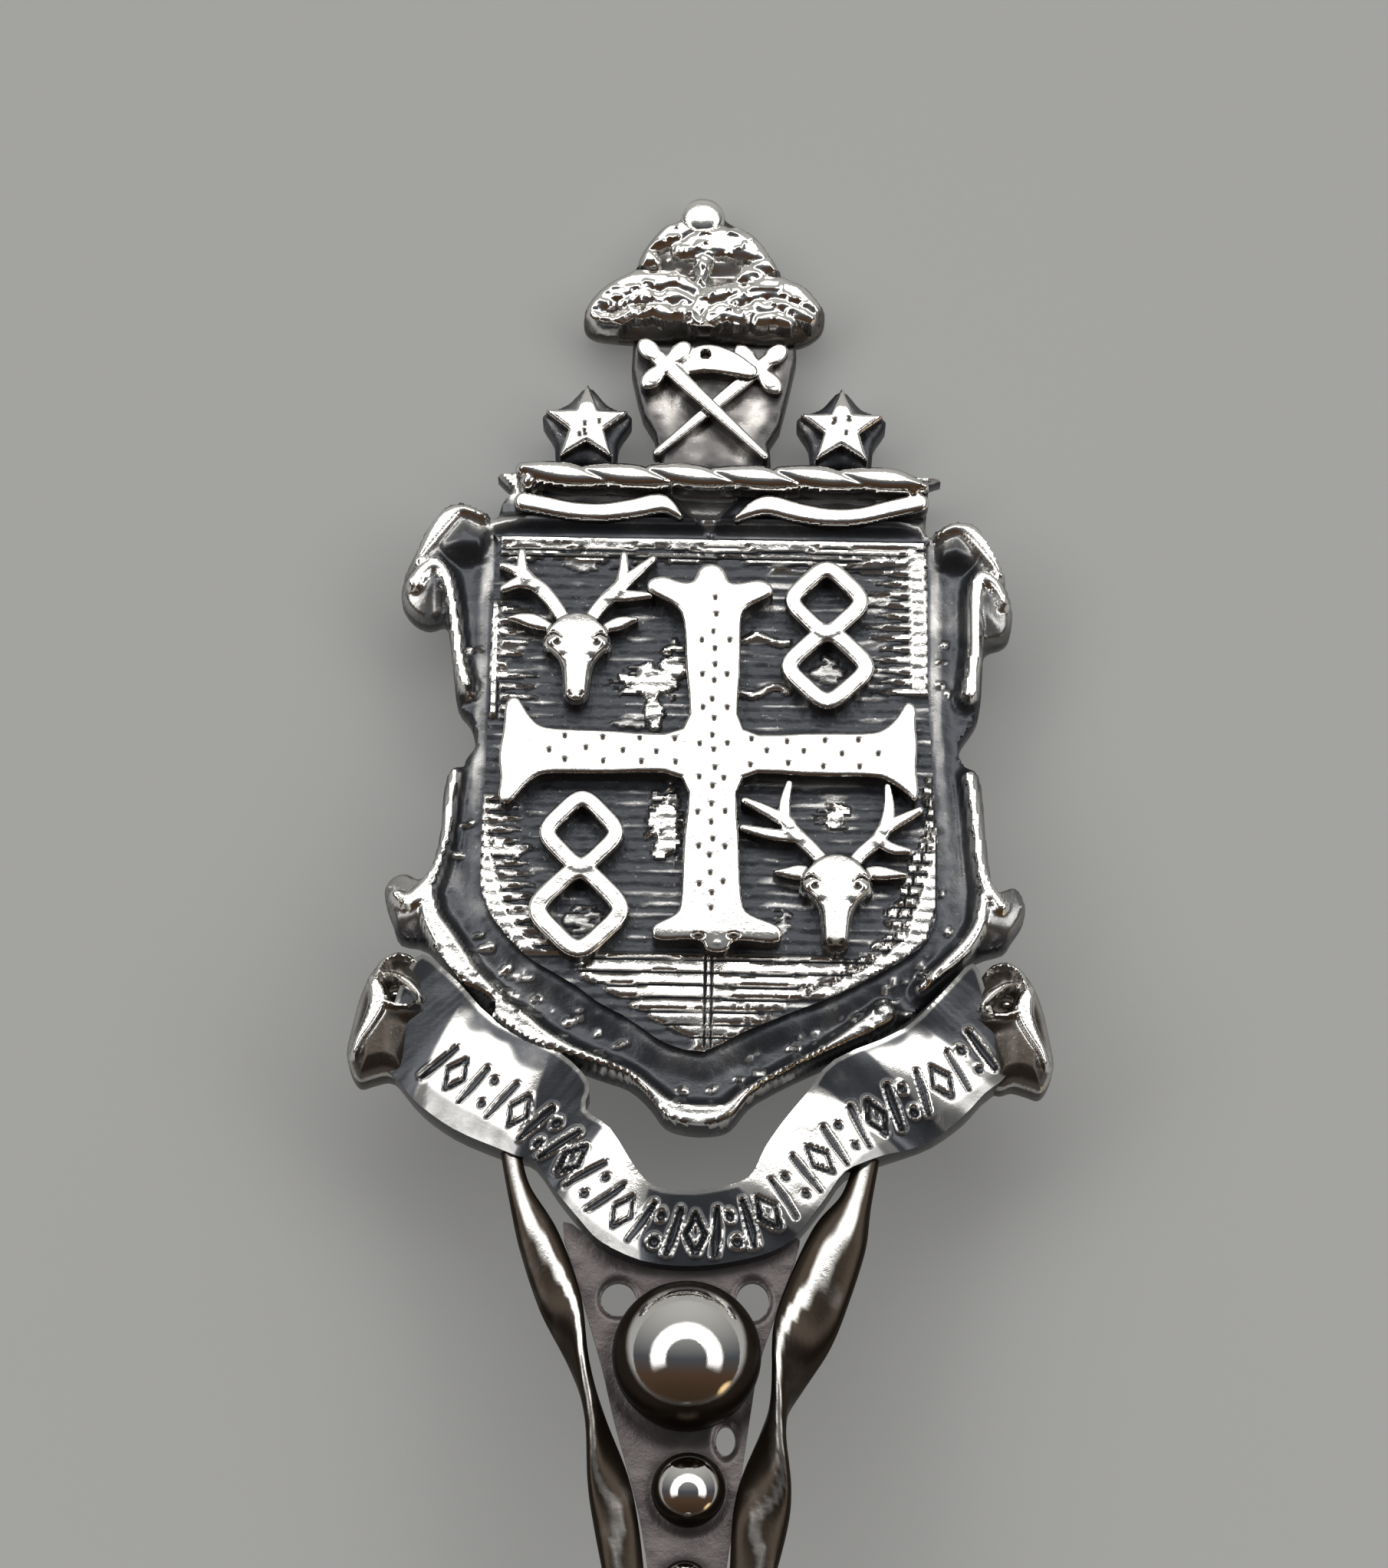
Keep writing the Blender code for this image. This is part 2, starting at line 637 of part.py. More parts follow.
def stave_outline(foot, head, half_foot, half_head):
    """A tapered stave that ends in three round knobs, drawn along its own line from foot to head."""
    along = (Vector(head) - Vector(foot)).normalized()
    across = Vector((-along.y, along.x))
    reach = (Vector(head) - Vector(foot)).length
    side = [(0.0, half_foot), (reach - 0.75, half_head)]
    side += [(reach - 0.85, half_head + 0.18), (reach - 0.62, half_head + 0.42),
        (reach - 0.3, half_head + 0.4)]
    side += [(reach - 0.18, half_head + 0.12), (reach, 0.14)]
    left = [Vector(foot) + along * a + across * b for a, b in side]
    right = [Vector(foot) + along * a - across * b for a, b in reversed(side)]
    return [tuple(point) for point in left + right]


def make_crest():
    """The block above the torse with two crossed staves, and the tree that tops it."""
    block = (
        (-2.1, 11.65), (-2.12, 11.0), (-1.9, 9.9), (-1.5, 9.2), (-1.35, 8.25), (1.6, 8.25),
        (1.45, 8.95), (1.8, 9.5),
        (2.05, 10.7), (2.2, 11.65),
    )
    plate("crest_block", (block,), 0.05, 0.9, color=DARK_SILVER, roughness=0.4)
    plate("staff_under", (stave_outline((-1.4, 8.5), (1.4, 11.25), 0.1, 0.22),), 0.93, 1.25)
    plate("staff_over", (stave_outline((1.38, 8.3), (-1.45, 11.2), 0.1, 0.22),), 1.28, 1.6)
    make_tree()


def make_tree():
    """The tree's crown: lobes of foliage around a short trunk, with a bead on top."""
    lobes = (
        ("crown", -0.3, 13.5, 1.5, 1.35, 0.8),
        ("crown_left", -1.2, 13.75, 0.75, 0.8, 0.7),
        ("crown_right", 0.75, 13.9, 0.75, 0.8, 0.7),
        ("crown_top", -0.35, 14.55, 0.8, 0.55, 0.6),
        ("bough_left", -2.3, 12.75, 1.1, 0.72, 0.65),
        ("bough_right", 1.9, 12.85, 1.05, 0.8, 0.65),
        ("brim_left", -1.4, 12.5, 1.2, 0.6, 0.75),
        ("brim_right", 1.1, 12.5, 1.2, 0.6, 0.75),
        ("bead", -0.35, TIP_V - 0.45, 0.45, 0.45, TIP_W - TIP_BACK_W),
    )
    pieces = [blob(f"tree_{name}", (u, v, TIP_W), (a, b, c)) for name, u, v, a, b, c in lobes]
    tree = pieces[0]
    tree.name = "crest_tree"
    union(tree, pieces[1:])


# --- ribbon -----------------------------------------------------------------------------------------

CURL_RADIUS = 0.5
RIBBON_EDGE = (
    (-7.85, -8.3), (-7.95, -7.3), (-7.8, -6.6), (-7.55, -5.9), (-7.1, -5.3), (-5.6, -6.0), (-3.2, -7.6),
    (-2.75, -8.7),
    (-2.9, -9.25), (-2.2, -9.75), (-1.6, -10.7), (-1.1, -11.2), (0.4, -11.3), (1.3, -10.95),
    (1.7, -10.2), (2.2, -9.4),
    (2.85, -8.7), (3.2, -7.6), (5.6, -6.0), (6.9, -5.3), (7.25, -6.1), (7.5, -6.8), (7.75, -7.45),
    (7.8, -8.25),
    (7.2, -8.7), (6.7, -9.25), (5.9, -9.9), (4.35, -10.5), (3.6, -10.85), (2.6, -12.25), (1.3, -13.0),
    (0.0, -13.2),
    (-1.4, -13.1), (-2.4, -12.7), (-3.5, -11.45), (-4.3, -10.6), (-5.2, -10.3), (-6.2, -9.85),
    (-7.0, -9.25),
    (-7.6, -8.6),
)


def make_ribbon():
    """The blank motto ribbon that hangs in a wave under the cartouche, and its two rolled ends."""
    ribbon = as_mesh(plate("motto_ribbon", (RIBBON_EDGE,), 0.1, 1.3))
    boolean(ribbon, room_for("cartouche_room", CARTOUCHE_EDGE), "DIFFERENCE")
    curls = (
        ("ribbon_curl_left", ((-8.1, -5.85), (-8.35, -6.6), (-8.5, -7.3), (-8.45, -8.05))),
        ("ribbon_curl_right", ((7.78, -6.0), (8.05, -6.7), (8.3, -7.4), (8.35, -8.2))),
    )
    for name, line in curls:
        wire(name, [(u, v, 0.1 + CURL_RADIUS) for u, v in line], CURL_RADIUS)


def main():
    make_bowl()
    bowl_room = make_bowl_cutter()
    make_shaft(bowl_room)
    make_collar()
    make_rails(room_for("ribbon_room", RIBBON_EDGE))
    make_web()
    make_balls()
    make_cartouche()
    make_rims()
    make_torse()
    make_torse_bands()
    make_stars()
    make_crest()
    make_ribbon()


main()
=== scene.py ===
import math

import bpy
import numpy as np
from mathutils import Matrix, Vector


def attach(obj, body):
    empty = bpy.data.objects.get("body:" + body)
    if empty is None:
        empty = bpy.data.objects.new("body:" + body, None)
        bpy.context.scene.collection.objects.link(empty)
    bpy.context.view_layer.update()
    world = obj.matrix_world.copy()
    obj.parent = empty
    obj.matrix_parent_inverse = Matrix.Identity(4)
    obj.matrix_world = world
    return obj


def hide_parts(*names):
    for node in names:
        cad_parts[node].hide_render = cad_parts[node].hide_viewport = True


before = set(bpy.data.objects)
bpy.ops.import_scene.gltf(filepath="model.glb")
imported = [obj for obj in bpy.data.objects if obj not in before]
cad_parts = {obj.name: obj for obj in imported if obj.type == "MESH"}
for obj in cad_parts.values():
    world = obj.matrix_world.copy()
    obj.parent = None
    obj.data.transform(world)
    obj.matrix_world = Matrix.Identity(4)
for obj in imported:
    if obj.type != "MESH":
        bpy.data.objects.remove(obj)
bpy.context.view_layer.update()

# A silver souvenir spoon. The stem and the finial are flat work on one slanting plane, laid out in
# millimetres: U to the right, V towards the tip and W out of its face, as in part.py. Each flat piece is
# a relief: an outline given as a signed distance (negative inside) and a height W over every point of it.

MM = 0.001

# The slanting plane
SLOPE = math.radians(9.0)
PLANE_Y = 43.6192
PLANE_Z = 2.0681
SHIELD_FLOOR = 1.22
CHARGE_TOP = 1.98


# --- small tools: curves, distances and noise ---------------------------------------------------------


def smooth(points, steps=5, closed=True):
    """Points along a smooth curve through the given ones (Catmull-Rom)."""
    knots = np.array(points, float)
    if closed:
        before, after, later = np.roll(knots, 1, 0), np.roll(knots, -1, 0), np.roll(knots, -2, 0)
        start = knots
    else:
        first = 2 * knots[0] - knots[1]
        last = 2 * knots[-1] - knots[-2]
        padded = np.vstack([first, knots, last])
        before, start, after, later = padded[:-3], padded[1:-2], padded[2:-1], padded[3:]
    rows = []
    for step in range(steps):
        t = step / steps
        rows.append(
            0.5 * (2 * start + (after - before) * t + (2 * before - 5 * start + 4 * after - later) * t * t
                   + (3 * start - before - 3 * after + later) * t ** 3)
        )
    line = np.stack(rows, 1).reshape(-1, knots.shape[1])
    return line if closed else np.vstack([line, knots[-1]])


def polygon(u, v, points):
    """Signed distance to a closed outline, negative inside it."""
    nearest = np.full(u.shape, 1e9)
    inside = np.zeros(u.shape, bool)
    corners = np.array(points, float)
    for (au, av), (bu, bv) in zip(corners, np.roll(corners, -1, 0)):
        du, dv = bu - au, bv - av
        along = np.clip(((u - au) * du + (v - av) * dv) / (du * du + dv * dv + 1e-12), 0, 1)
        nearest = np.minimum(nearest, (u - au - along * du) ** 2 + (v - av - along * dv) ** 2)
        if dv:
            inside ^= ((av > v) != (bv > v)) & (u < au + (v - av) * du / dv)
    nearest = np.sqrt(nearest)
    return np.where(inside, -nearest, nearest)


def strand(u, v, points, steps=5):
    """Signed distance to a line whose points are (u, v, radius)."""
    line = smooth(points, steps, closed=False) if len(points) > 2 else np.array(points, float)
    best = np.full(u.shape, 1e9)
    for (au, av, ar), (bu, bv, br) in zip(line, line[1:]):
        du, dv = bu - au, bv - av
        along = np.clip(((u - au) * du + (v - av) * dv) / (du * du + dv * dv + 1e-12), 0, 1)
        gap = np.hypot(u - au - along * du, v - av - along * dv) - (ar + along * (br - ar))
        best = np.minimum(best, gap)
    return best


def ellipse(u, v, cu, cv, ru, rv, turn=0.0):
    """(signed distance, share of the radius) for an ellipse turned by so many degrees."""
    angle = math.radians(turn)
    a = ((u - cu) * math.cos(angle) + (v - cv) * math.sin(angle)) / ru
    b = ((v - cv) * math.cos(angle) - (u - cu) * math.sin(angle)) / rv
    share = np.hypot(a, b)
    return (share - 1) * min(ru, rv), share


def ramp(x, low, high):
    t = np.clip((x - low) / (high - low), 0, 1)
    return t * t * (3 - 2 * t)


def noise(u, v, size, seed):
    """Smooth random values from -1 to 1 with bumps of this size."""
    random = np.random.default_rng(seed).uniform(-1, 1, (64, 64))
    a, b = u / size + 100.0, v / size + 100.0
    i, j = np.floor(a).astype(int), np.floor(b).astype(int)
    s, t = a - i, b - j
    s, t = s * s * (3 - 2 * s), t * t * (3 - 2 * t)
    i, j, k, m = i % 64, j % 64, (i + 1) % 64, (j + 1) % 64
    low = random[i, j] * (1 - s) + random[k, j] * s
    high = random[i, m] * (1 - s) + random[k, m] * s
    return low * (1 - t) + high * t


def rounded_top(distance, top, radius, drop=None):
    """A flat top whose edge rounds over inside the outline."""
    edge = np.clip(1 + distance / radius, 0, 1)
    return top - (drop if drop else radius) * (1 - np.sqrt(1 - edge * edge))


def dome(share, foot, top, power=2.0):
    """A dome over an ellipse: its height is foot at the outline and top in the middle."""
    return foot + (top - foot) * (1 - np.clip(share, 0, 1) ** power) ** (1 / power)


def blend_max(a, b, softness=0.06):
    return 0.5 * (a + b + np.sqrt((a - b) ** 2 + softness ** 2))


def merge(features, softness=0.05):
    """One shape from several (distance, height) pairs."""
    distance, height = features[0]
    floor = min(float(np.min(f[1][f[0] < 0])) if (f[0] < 0).any() else 9.0 for f in features) - 0.3
    height = np.where(distance < 0.05, height, floor)
    for other_distance, other_height in features[1:]:
        distance = np.minimum(distance, other_distance)
        height = blend_max(height, np.where(other_distance < 0.05, other_height, floor), softness)
    return distance, height


def engrave(height, tarnish_and_painted_light, distance, depth, edge=0.05):
    """Cuts a groove with this signed distance into a surface and darkens it."""
    cut = 1 - ramp(distance, -edge, edge)
    return height - depth * cut, np.maximum(tarnish_and_painted_light, cut)


def blurred(values, cells):
    """A box blur over this many cells to each side, along both axes."""
    width = 2 * cells + 1
    for axis in (0, 1):
        length = values.shape[axis]
        before = np.repeat(np.take(values, [0], axis), cells, axis)
        after = np.repeat(np.take(values, [-1], axis), cells, axis)
        total = np.cumsum(np.concatenate([before, values, after], axis), axis)
        total = np.concatenate([np.zeros_like(np.take(total, [0], axis)), total], axis)
        high = np.take(total, np.arange(width, width + length), axis)
        low = np.take(total, np.arange(0, length), axis)
        values = (high - low) / width
    return values


def cavity(height, cells, depth):
    """0 on high ground and 1 in hollows this much deeper than what is around them."""
    return ramp(blurred(height, cells) - height, 0.0, depth)


# --- meshes -------------------------------------------------------------------------------------------


def plane_to_world(points):
    """World coordinates in metres of (u, v, w) rows in millimetres."""
    u, v, w = np.asarray(points, float).T
    y = PLANE_Y + v * math.cos(SLOPE) + w * math.sin(SLOPE)
    z = PLANE_Z + w * math.cos(SLOPE) - v * math.sin(SLOPE)
    return np.stack([u, y, z], 1) * MM


def add_mesh(name, points, faces, tarnish_and_painted_light, material, nodes, sharp=50.0):
    """A piece of the spoon from points in metres; tarnish is one value for each point."""
    mesh = bpy.data.meshes.new(name)
    mesh.from_pydata(points.tolist(), [], faces)
    mesh.validate()
    layer = mesh.attributes.new("tarnish_and_painted_light", "FLOAT", "POINT")
    layer.data.foreach_set("value", np.asarray(tarnish_and_painted_light, np.float32))
    mesh.polygons.foreach_set("use_smooth", [True] * len(mesh.polygons))
    mesh.set_sharp_from_angle(angle=math.radians(sharp))
    mesh.materials.append(material)
    piece = bpy.data.objects.new(name, mesh)
    bpy.context.scene.collection.objects.link(piece)
    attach(piece, "root")
    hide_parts(*nodes)
    return piece


def clip_cells(distance):
    """The cells of a grid inside the outline: whole ones as quads, and those that it crosses cut along it.

    Returns the faces, the edges that it crosses as (inside, outside) pairs, and the outline's pieces.
    A face's corner numbered from the grid's size up is the point where such an edge is cut."""
    rows, columns = distance.shape
    size = rows * columns
    index = np.arange(size).reshape(rows, columns)
    corners = [index[:-1, :-1], index[:-1, 1:], index[1:, 1:], index[1:, :-1]]
    a, b, c, d = [corner.ravel() for corner in corners]
    inside = distance.ravel() < 0
    count = inside[a].astype(int) + inside[b] + inside[c] + inside[d]
    quads = np.stack([a, b, c, d], 1)[count == 4]
    partly = (count > 0) & (count < 4)
    triangles = np.concatenate([np.stack([a, b, c], 1)[partly], np.stack([a, c, d], 1)[partly]])
    count = inside[triangles].sum(1)
    whole = triangles[count == 3]
    two = triangles[count == 2]
    turn = np.argmin(inside[two], 1)[:, None] + np.array([1, 2, 3])
    two = np.take_along_axis(two, turn % 3, 1)
    one = triangles[count == 1]
    turn = np.argmax(inside[one], 1)[:, None] + np.array([0, 1, 2])
    one = np.take_along_axis(one, turn % 3, 1)
    cut = np.concatenate([two[:, [0, 2]], two[:, [1, 2]], one[:, [0, 1]], one[:, [0, 2]]])
    keys, place = np.unique(cut[:, 0].astype(np.int64) * size + cut[:, 1], return_inverse=True)
    place = place.reshape(-1) + size
    p, q, r, s = np.split(place, np.cumsum([len(two), len(two), len(one)]))
    faces = [quads, whole, np.stack([two[:, 0], two[:, 1], q, p], 1), np.stack([one[:, 0], r, s], 1)]
    outline = np.concatenate([np.stack([q, p], 1), np.stack([r, s], 1)])
    return faces, np.stack([keys // size, keys % size], 1), outline


def strands(u, v, lines, steps=4):
    """Signed distance to the nearest of several strands."""
    return np.minimum.reduce([strand(u, v, line, steps) for line in lines])


def ring_of(count):
    """The angles of so many points round a circle."""
    return np.linspace(0, 2 * math.pi, count, endpoint=False)


def squared(value, power):
    """A sine or cosine pushed outwards, which squares a round section up a little."""
    return np.sign(value) * abs(value) ** power


LIP = 0.05  # how far down the side walls their darkening starts: oxide in the recess and painted shade
UNDERSIDE_TARNISH = 0.6


def relief(name, box, step, shape, base, material, nodes, wall_oxide_and_shade=0.9):
    """A solid with a sculpted top: shape(u, v) gives its signed distance, its height and its tarnish.

    box is (low u, low v, high u, high v), step the grid's, base the height W of the flat underside and
    wall the least tarnish of the side walls, which darkens them as oxide in the recess and as painted
    shade."""
    low_u, low_v, high_u, high_v = box
    across = np.linspace(low_u, high_u, int(round((high_u - low_u) / step)) + 1)
    up = np.linspace(low_v, high_v, int(round((high_v - low_v) / step)) + 1)
    u, v = np.meshgrid(across, up)
    distance, height, tarnish_and_painted_light = shape(u, v)
    faces, cut, outline = clip_cells(distance)
    flat = distance.ravel()
    share = flat[cut[:, 0]] / (flat[cut[:, 0]] - flat[cut[:, 1]])
    share = np.clip(share, 0.04, 0.96)[:, None]
    values = np.stack([u.ravel(), v.ravel(), height.ravel(), tarnish_and_painted_light.ravel()], 1)
    edge = values[cut[:, 0]] * (1 - share) + values[cut[:, 1]] * share
    top = np.vstack([values, edge])
    lip = edge.copy()
    lip[:, 2] -= LIP
    # The side walls are darkened: oxide in the recess, and painted shade that keeps them from showing the
    # floor's reflection.
    lip[:, 3] = np.maximum(wall_oxide_and_shade, edge[:, 3])
    low = top.copy()
    low[:, 2] = base
    low[:, 3] = UNDERSIDE_TARNISH
    bottom = len(top) + len(edge)
    lips = len(top) + np.arange(len(edge))
    first, second = outline[:, 0], outline[:, 1]
    lip_first, lip_second = lips[first - len(values)], lips[second - len(values)]
    walls = np.vstack([
        np.stack([second, first, lip_first, lip_second], 1),
        np.stack([lip_second, lip_first, first + bottom, second + bottom], 1),
    ])
    parts = faces + [walls] + [(part + bottom)[:, ::-1] for part in faces]
    points = np.vstack([top, lip, low])
    used = np.unique(np.concatenate([part.ravel() for part in parts]))
    renumber = np.zeros(len(points), int)
    renumber[used] = np.arange(len(used))
    corners = [row for part in parts for row in renumber[part].tolist()]
    points = points[used]
    add_mesh(name, plane_to_world(points[:, :3]), corners, points[:, 3], material, nodes)


def loft(rings):
    """Points and faces between rings of points; the first and last ring are filled."""
    count = len(rings[0])
    faces = []
    for ring in range(len(rings) - 1):
        near, far = ring * count, (ring + 1) * count
        for side in range(count):
            following = (side + 1) % count
            faces.append([near + side, near + following, far + following, far + side])
    faces.append(list(range(count))[::-1])
    faces.append([(len(rings) - 1) * count + side for side in range(count)])
    return np.vstack(rings), faces


def heading(line, place):
    """The step from the point before this one to the point after it."""
    return line[min(place + 1, len(line) - 1)] - line[max(place - 1, 0)]


# --- materials ----------------------------------------------------------------------------------------


def add_node(tree, kind, settings=None, inputs=None):
    node = tree.nodes.new(kind)
    for key, value in (settings or {}).items():
        setattr(node, key, value)
    for key, value in (inputs or {}).items():
        node.inputs[key].default_value = value
    return node


def math_node(tree, operation, *values, clamp=False):
    """A maths node on numbers or other nodes' outputs."""
    node = add_node(tree, "ShaderNodeMath", {"operation": operation, "use_clamp": clamp})
    for place, value in enumerate(values):
        if isinstance(value, (int, float)):
            node.inputs[place].default_value = value
        else:
            tree.links.new(value, node.inputs[place])
    return node.outputs[0]


def range_node(tree, value, low, high, start=0.0, end=1.0, kind="LINEAR"):
    """Maps low to high onto start to end, and holds it there outside them."""
    limits = {1: low, 2: high, 3: start, 4: end}
    node = add_node(tree, "ShaderNodeMapRange", {"interpolation_type": kind}, limits)
    tree.links.new(value, node.inputs["Value"])
    return node.outputs["Result"]


def step_node(tree, value, low, high):
    return range_node(tree, value, low, high, kind="SMOOTHSTEP")


def noise_node(tree, vector, scale, detail, roughness=0.5):
    inputs = {"Scale": scale, "Detail": detail, "Roughness": roughness}
    node = add_node(tree, "ShaderNodeTexNoise", inputs=inputs)
    tree.links.new(vector, node.inputs["Vector"])
    return node.outputs["Fac"]


def color_node(tree, amount, first, second):
    """A mix of two colours."""
    node = add_node(tree, "ShaderNodeMix", {"data_type": "RGBA"}, {6: first + (1.0,), 7: second + (1.0,)})
    tree.links.new(amount, node.inputs[0])
    return node.outputs[2]


def bump_node(tree, height, strength, distance):
    node = add_node(tree, "ShaderNodeBump", inputs={"Strength": strength, "Distance": distance})
    tree.links.new(height, node.inputs["Height"])
    return node


OXIDE_METALLIC = 0.72  # oxide is duller than metal, so its surface is only partly metallic
CLOUD_SCALE = 1300.0
FINE_SCALE = 9000.0
SCRATCH_SCALE = (9000.0, 900.0, 2500.0)
SCRATCH_TURN = (0.0, 0.0, 0.5)
UNEVENNESS = 0.34  # how far the clouds move the tarnish up and down, in all
SCRATCH_DEPTH = 0.000006
GRAIN_DEPTH = 0.00002


def silver_material(name, bright, dark, gloss, dull, darkening=0.0, speck=0.0, scratch=0.25, grain=0.3,
                    edge=0.55):
    """Silver with oxide in its hollows: the tarnish attribute and noise mix the two finishes. In places the
    attribute also carries painted shade and painted highlights.

    bright and dark are the two colours, gloss and dull their roughness. darkening is added to the tarnish,
    speck lets bright grains show in it, and scratch and grain set the fine relief. edge is the brightness
    of the reflection at a grazing view; set low, it darkens the reflections along edges seen at a slant."""
    material = bpy.data.materials.new(name)
    material.use_nodes = True
    tree = material.node_tree
    shader = tree.nodes["Principled BSDF"]
    shader.inputs["Specular Tint"].default_value = (edge, edge, edge, 1.0)
    place = add_node(tree, "ShaderNodeTexCoord").outputs["Object"]
    tarnish_and_light_value = add_node(tree, "ShaderNodeAttribute", {"attribute_name": "tarnish_and_painted_light"}).outputs["Fac"]
    stretch = add_node(tree, "ShaderNodeMapping", inputs={"Scale": SCRATCH_SCALE, "Rotation": SCRATCH_TURN})
    tree.links.new(place, stretch.inputs["Vector"])
    cloud = noise_node(tree, place, CLOUD_SCALE, 5.0, 0.6)
    fine = noise_node(tree, place, FINE_SCALE, 3.0, 0.7)
    lines = noise_node(tree, stretch.outputs["Vector"], 1.0, 4.0, 0.55)

    uneven = math_node(tree, "MULTIPLY_ADD", cloud, UNEVENNESS, darkening - UNEVENNESS / 2)
    grains = range_node(tree, fine, 0.60, 0.72, 0.0, speck)
    total = math_node(tree, "SUBTRACT", math_node(tree, "ADD", tarnish_and_light_value, uneven), grains, clamp=True)
    # The mix towards the dark colour: real oxide in the hollows, and painted shade and painted highlights
    # where the attribute carries them.
    oxide = step_node(tree, total, 0.12, 0.9)
    rough = range_node(tree, oxide, 0.0, 1.0, gloss, dull)
    smear = math_node(tree, "MULTIPLY_ADD", lines, 0.08, -0.04)
    scratches = bump_node(tree, lines, scratch, SCRATCH_DEPTH)
    grain_bump = bump_node(tree, fine, grain, GRAIN_DEPTH)
    tree.links.new(scratches.outputs["Normal"], grain_bump.inputs["Normal"])

    for socket, output in (
        ("Base Color", color_node(tree, oxide, bright, dark)),
        ("Metallic", range_node(tree, oxide, 0.0, 1.0, 1.0, OXIDE_METALLIC)),
        ("Roughness", math_node(tree, "ADD", rough, smear, clamp=True)),
        ("Normal", grain_bump.outputs["Normal"]),
    ):
        tree.links.new(output, shader.inputs[socket])
    return material


WHITE_SILVER = (0.93, 0.91, 0.88)
WARM_SILVER = (0.86, 0.82, 0.78)
BLUE_OXIDE = (0.07, 0.074, 0.084)
BLACK_OXIDE = (0.068, 0.057, 0.047)
# Dark brown: oxide on the rails, and painted shade on the balls' lower parts.
BROWN_OXIDE_AND_SHADE = (0.04, 0.03, 0.022)
ROSE_OXIDE = (0.155, 0.136, 0.136)
BLOCK_OXIDE = (0.13, 0.124, 0.126)
POLISHED = silver_material("cast_silver", WHITE_SILVER, BLACK_OXIDE, 0.10, 0.28, 0.0, 0.15)
FIELD = silver_material("blackened_field", WHITE_SILVER, BLUE_OXIDE, 0.14, 0.36, 0.05, 0.35, 0.3, 0.6)
PLATE = silver_material("toned_strapwork", WHITE_SILVER, BLUE_OXIDE, 0.12, 0.3, 0.0, 0.1, 0.3, 0.4)
RIBBON = silver_material("ribbon_silver", WHITE_SILVER, BLUE_OXIDE, 0.11, 0.24, 0.0, 0.05, 0.3, 0.15)
CREST = silver_material("toned_crest", WARM_SILVER, BLOCK_OXIDE, 0.16, 0.34, 0.0, 0.1, 0.3, 0.4)
WEB = silver_material("satin_web", WARM_SILVER, ROSE_OXIDE, 0.2, 0.34, 0.1, 0.1, 0.35, 0.4)
BALLS = silver_material("burnished_balls", WHITE_SILVER, BROWN_OXIDE_AND_SHADE, 0.05, 0.3, 0.0, 0.0, 0.12, 0.06,
                        0.12)
RAILS = silver_material("polished_rails", WHITE_SILVER, BROWN_OXIDE_AND_SHADE, 0.07, 0.26, 0.0, 0.0, 0.3, 0.15, 0.4)
BOWL = silver_material("worn_bowl", WHITE_SILVER, WARM_SILVER, 0.09, 0.24, 0.0, 0.0, 0.4, 0.05)


# --- cartouche ----------------------------------------------------------------------------------------

PLATE_EDGE = (
    (-4.75, 8.15), (-5.17, 7.59), (-5.46, 7.18), (-5.57, 6.78), (-5.89, 6.8), (-6.45, 7.18),
    (-6.72, 7.07), (-7.34, 6.22), (-7.65, 5.81), (-7.91, 5.23), (-7.99, 4.82), (-7.98, 4.4),
    (-7.68, 3.98), (-7.26, 3.8), (-6.84, 3.9), (-6.71, 3.38), (-6.58, 2.43), (-6.45, 1.6), (-6.12, 1.15),
    (-5.98, 0.7), (-5.97, 0.45), (-6.2, 0.1), (-6.24, -0.08), (-6.6, -0.2), (-6.74, -0.85), (-6.78, -1.8),
    (-6.92, -2.55), (-7.08, -2.98), (-7.31, -3.15), (-7.6, -3.02), (-7.94, -3.1), (-8.15, -3.37),
    (-8.13, -3.76), (-7.94, -4.27), (-7.72, -4.75), (-7.0, -4.95), (-6.2, -5.9), (-5.3, -6.9),
    (-4.1, -7.65), (-2.6, -8.22), (-1.79, -8.5), (-1.24, -8.99), (-0.88, -9.46), (-0.39, -9.64),
    (0.24, -9.67), (0.78, -9.52), (1.25, -8.93), (1.81, -8.56), (2.48, -8.2), (3.31, -7.8), (4.29, -7.3),
    (5.4, -6.6), (6.3, -5.7), (7.0, -5.0), (7.7, -4.75), (7.93, -4.42), (8.22, -3.95), (8.25, -3.56),
    (8.12, -3.23), (7.93, -3.12), (7.7, -3.2), (7.48, -3.2), (7.36, -2.73), (7.23, -1.56), (7.16, -0.61),
    (7.03, -0.05), (6.75, 0.11), (6.57, 0.4), (6.6, 0.75), (6.96, 1.31), (7.1, 1.79), (7.16, 2.76),
    (7.24, 3.37), (7.66, 3.55), (7.86, 3.78), (7.94, 4.27), (7.88, 4.72), (7.66, 5.31), (7.28, 5.98),
    (7.02, 6.47), (6.69, 6.77), (6.41, 6.78), (6.03, 6.6), (5.81, 6.42), (5.67, 6.6), (5.69, 7.37),
    (5.63, 7.63), (5.37, 7.82), (5.34, 8.15),
)
SHIELD_EDGE = (
    (-5.5, 6.0), (-5.6, 4.3), (-5.62, 1.8), (-5.65, -0.6), (-5.7, -1.7), (-5.7, -3.3), (-5.56, -3.88),
    (-5.3, -4.4), (-4.6, -5.2), (-3.84, -5.68), (-3.18, -6.07), (-2.6, -6.5), (-1.98, -6.82),
    (-1.41, -7.2), (-0.85, -7.55), (0.08, -7.75), (0.95, -7.3), (2.12, -6.75), (3.53, -6.16),
    (4.79, -5.45), (5.3, -5.1), (5.75, -4.7), (5.98, -3.88), (6.0, -2.74), (5.95, -1.58), (5.74, 1.46),
    (5.7, 4.47), (5.64, 6.02), (5.3, 6.1), (0.04, 6.1), (-5.2, 6.08),
)
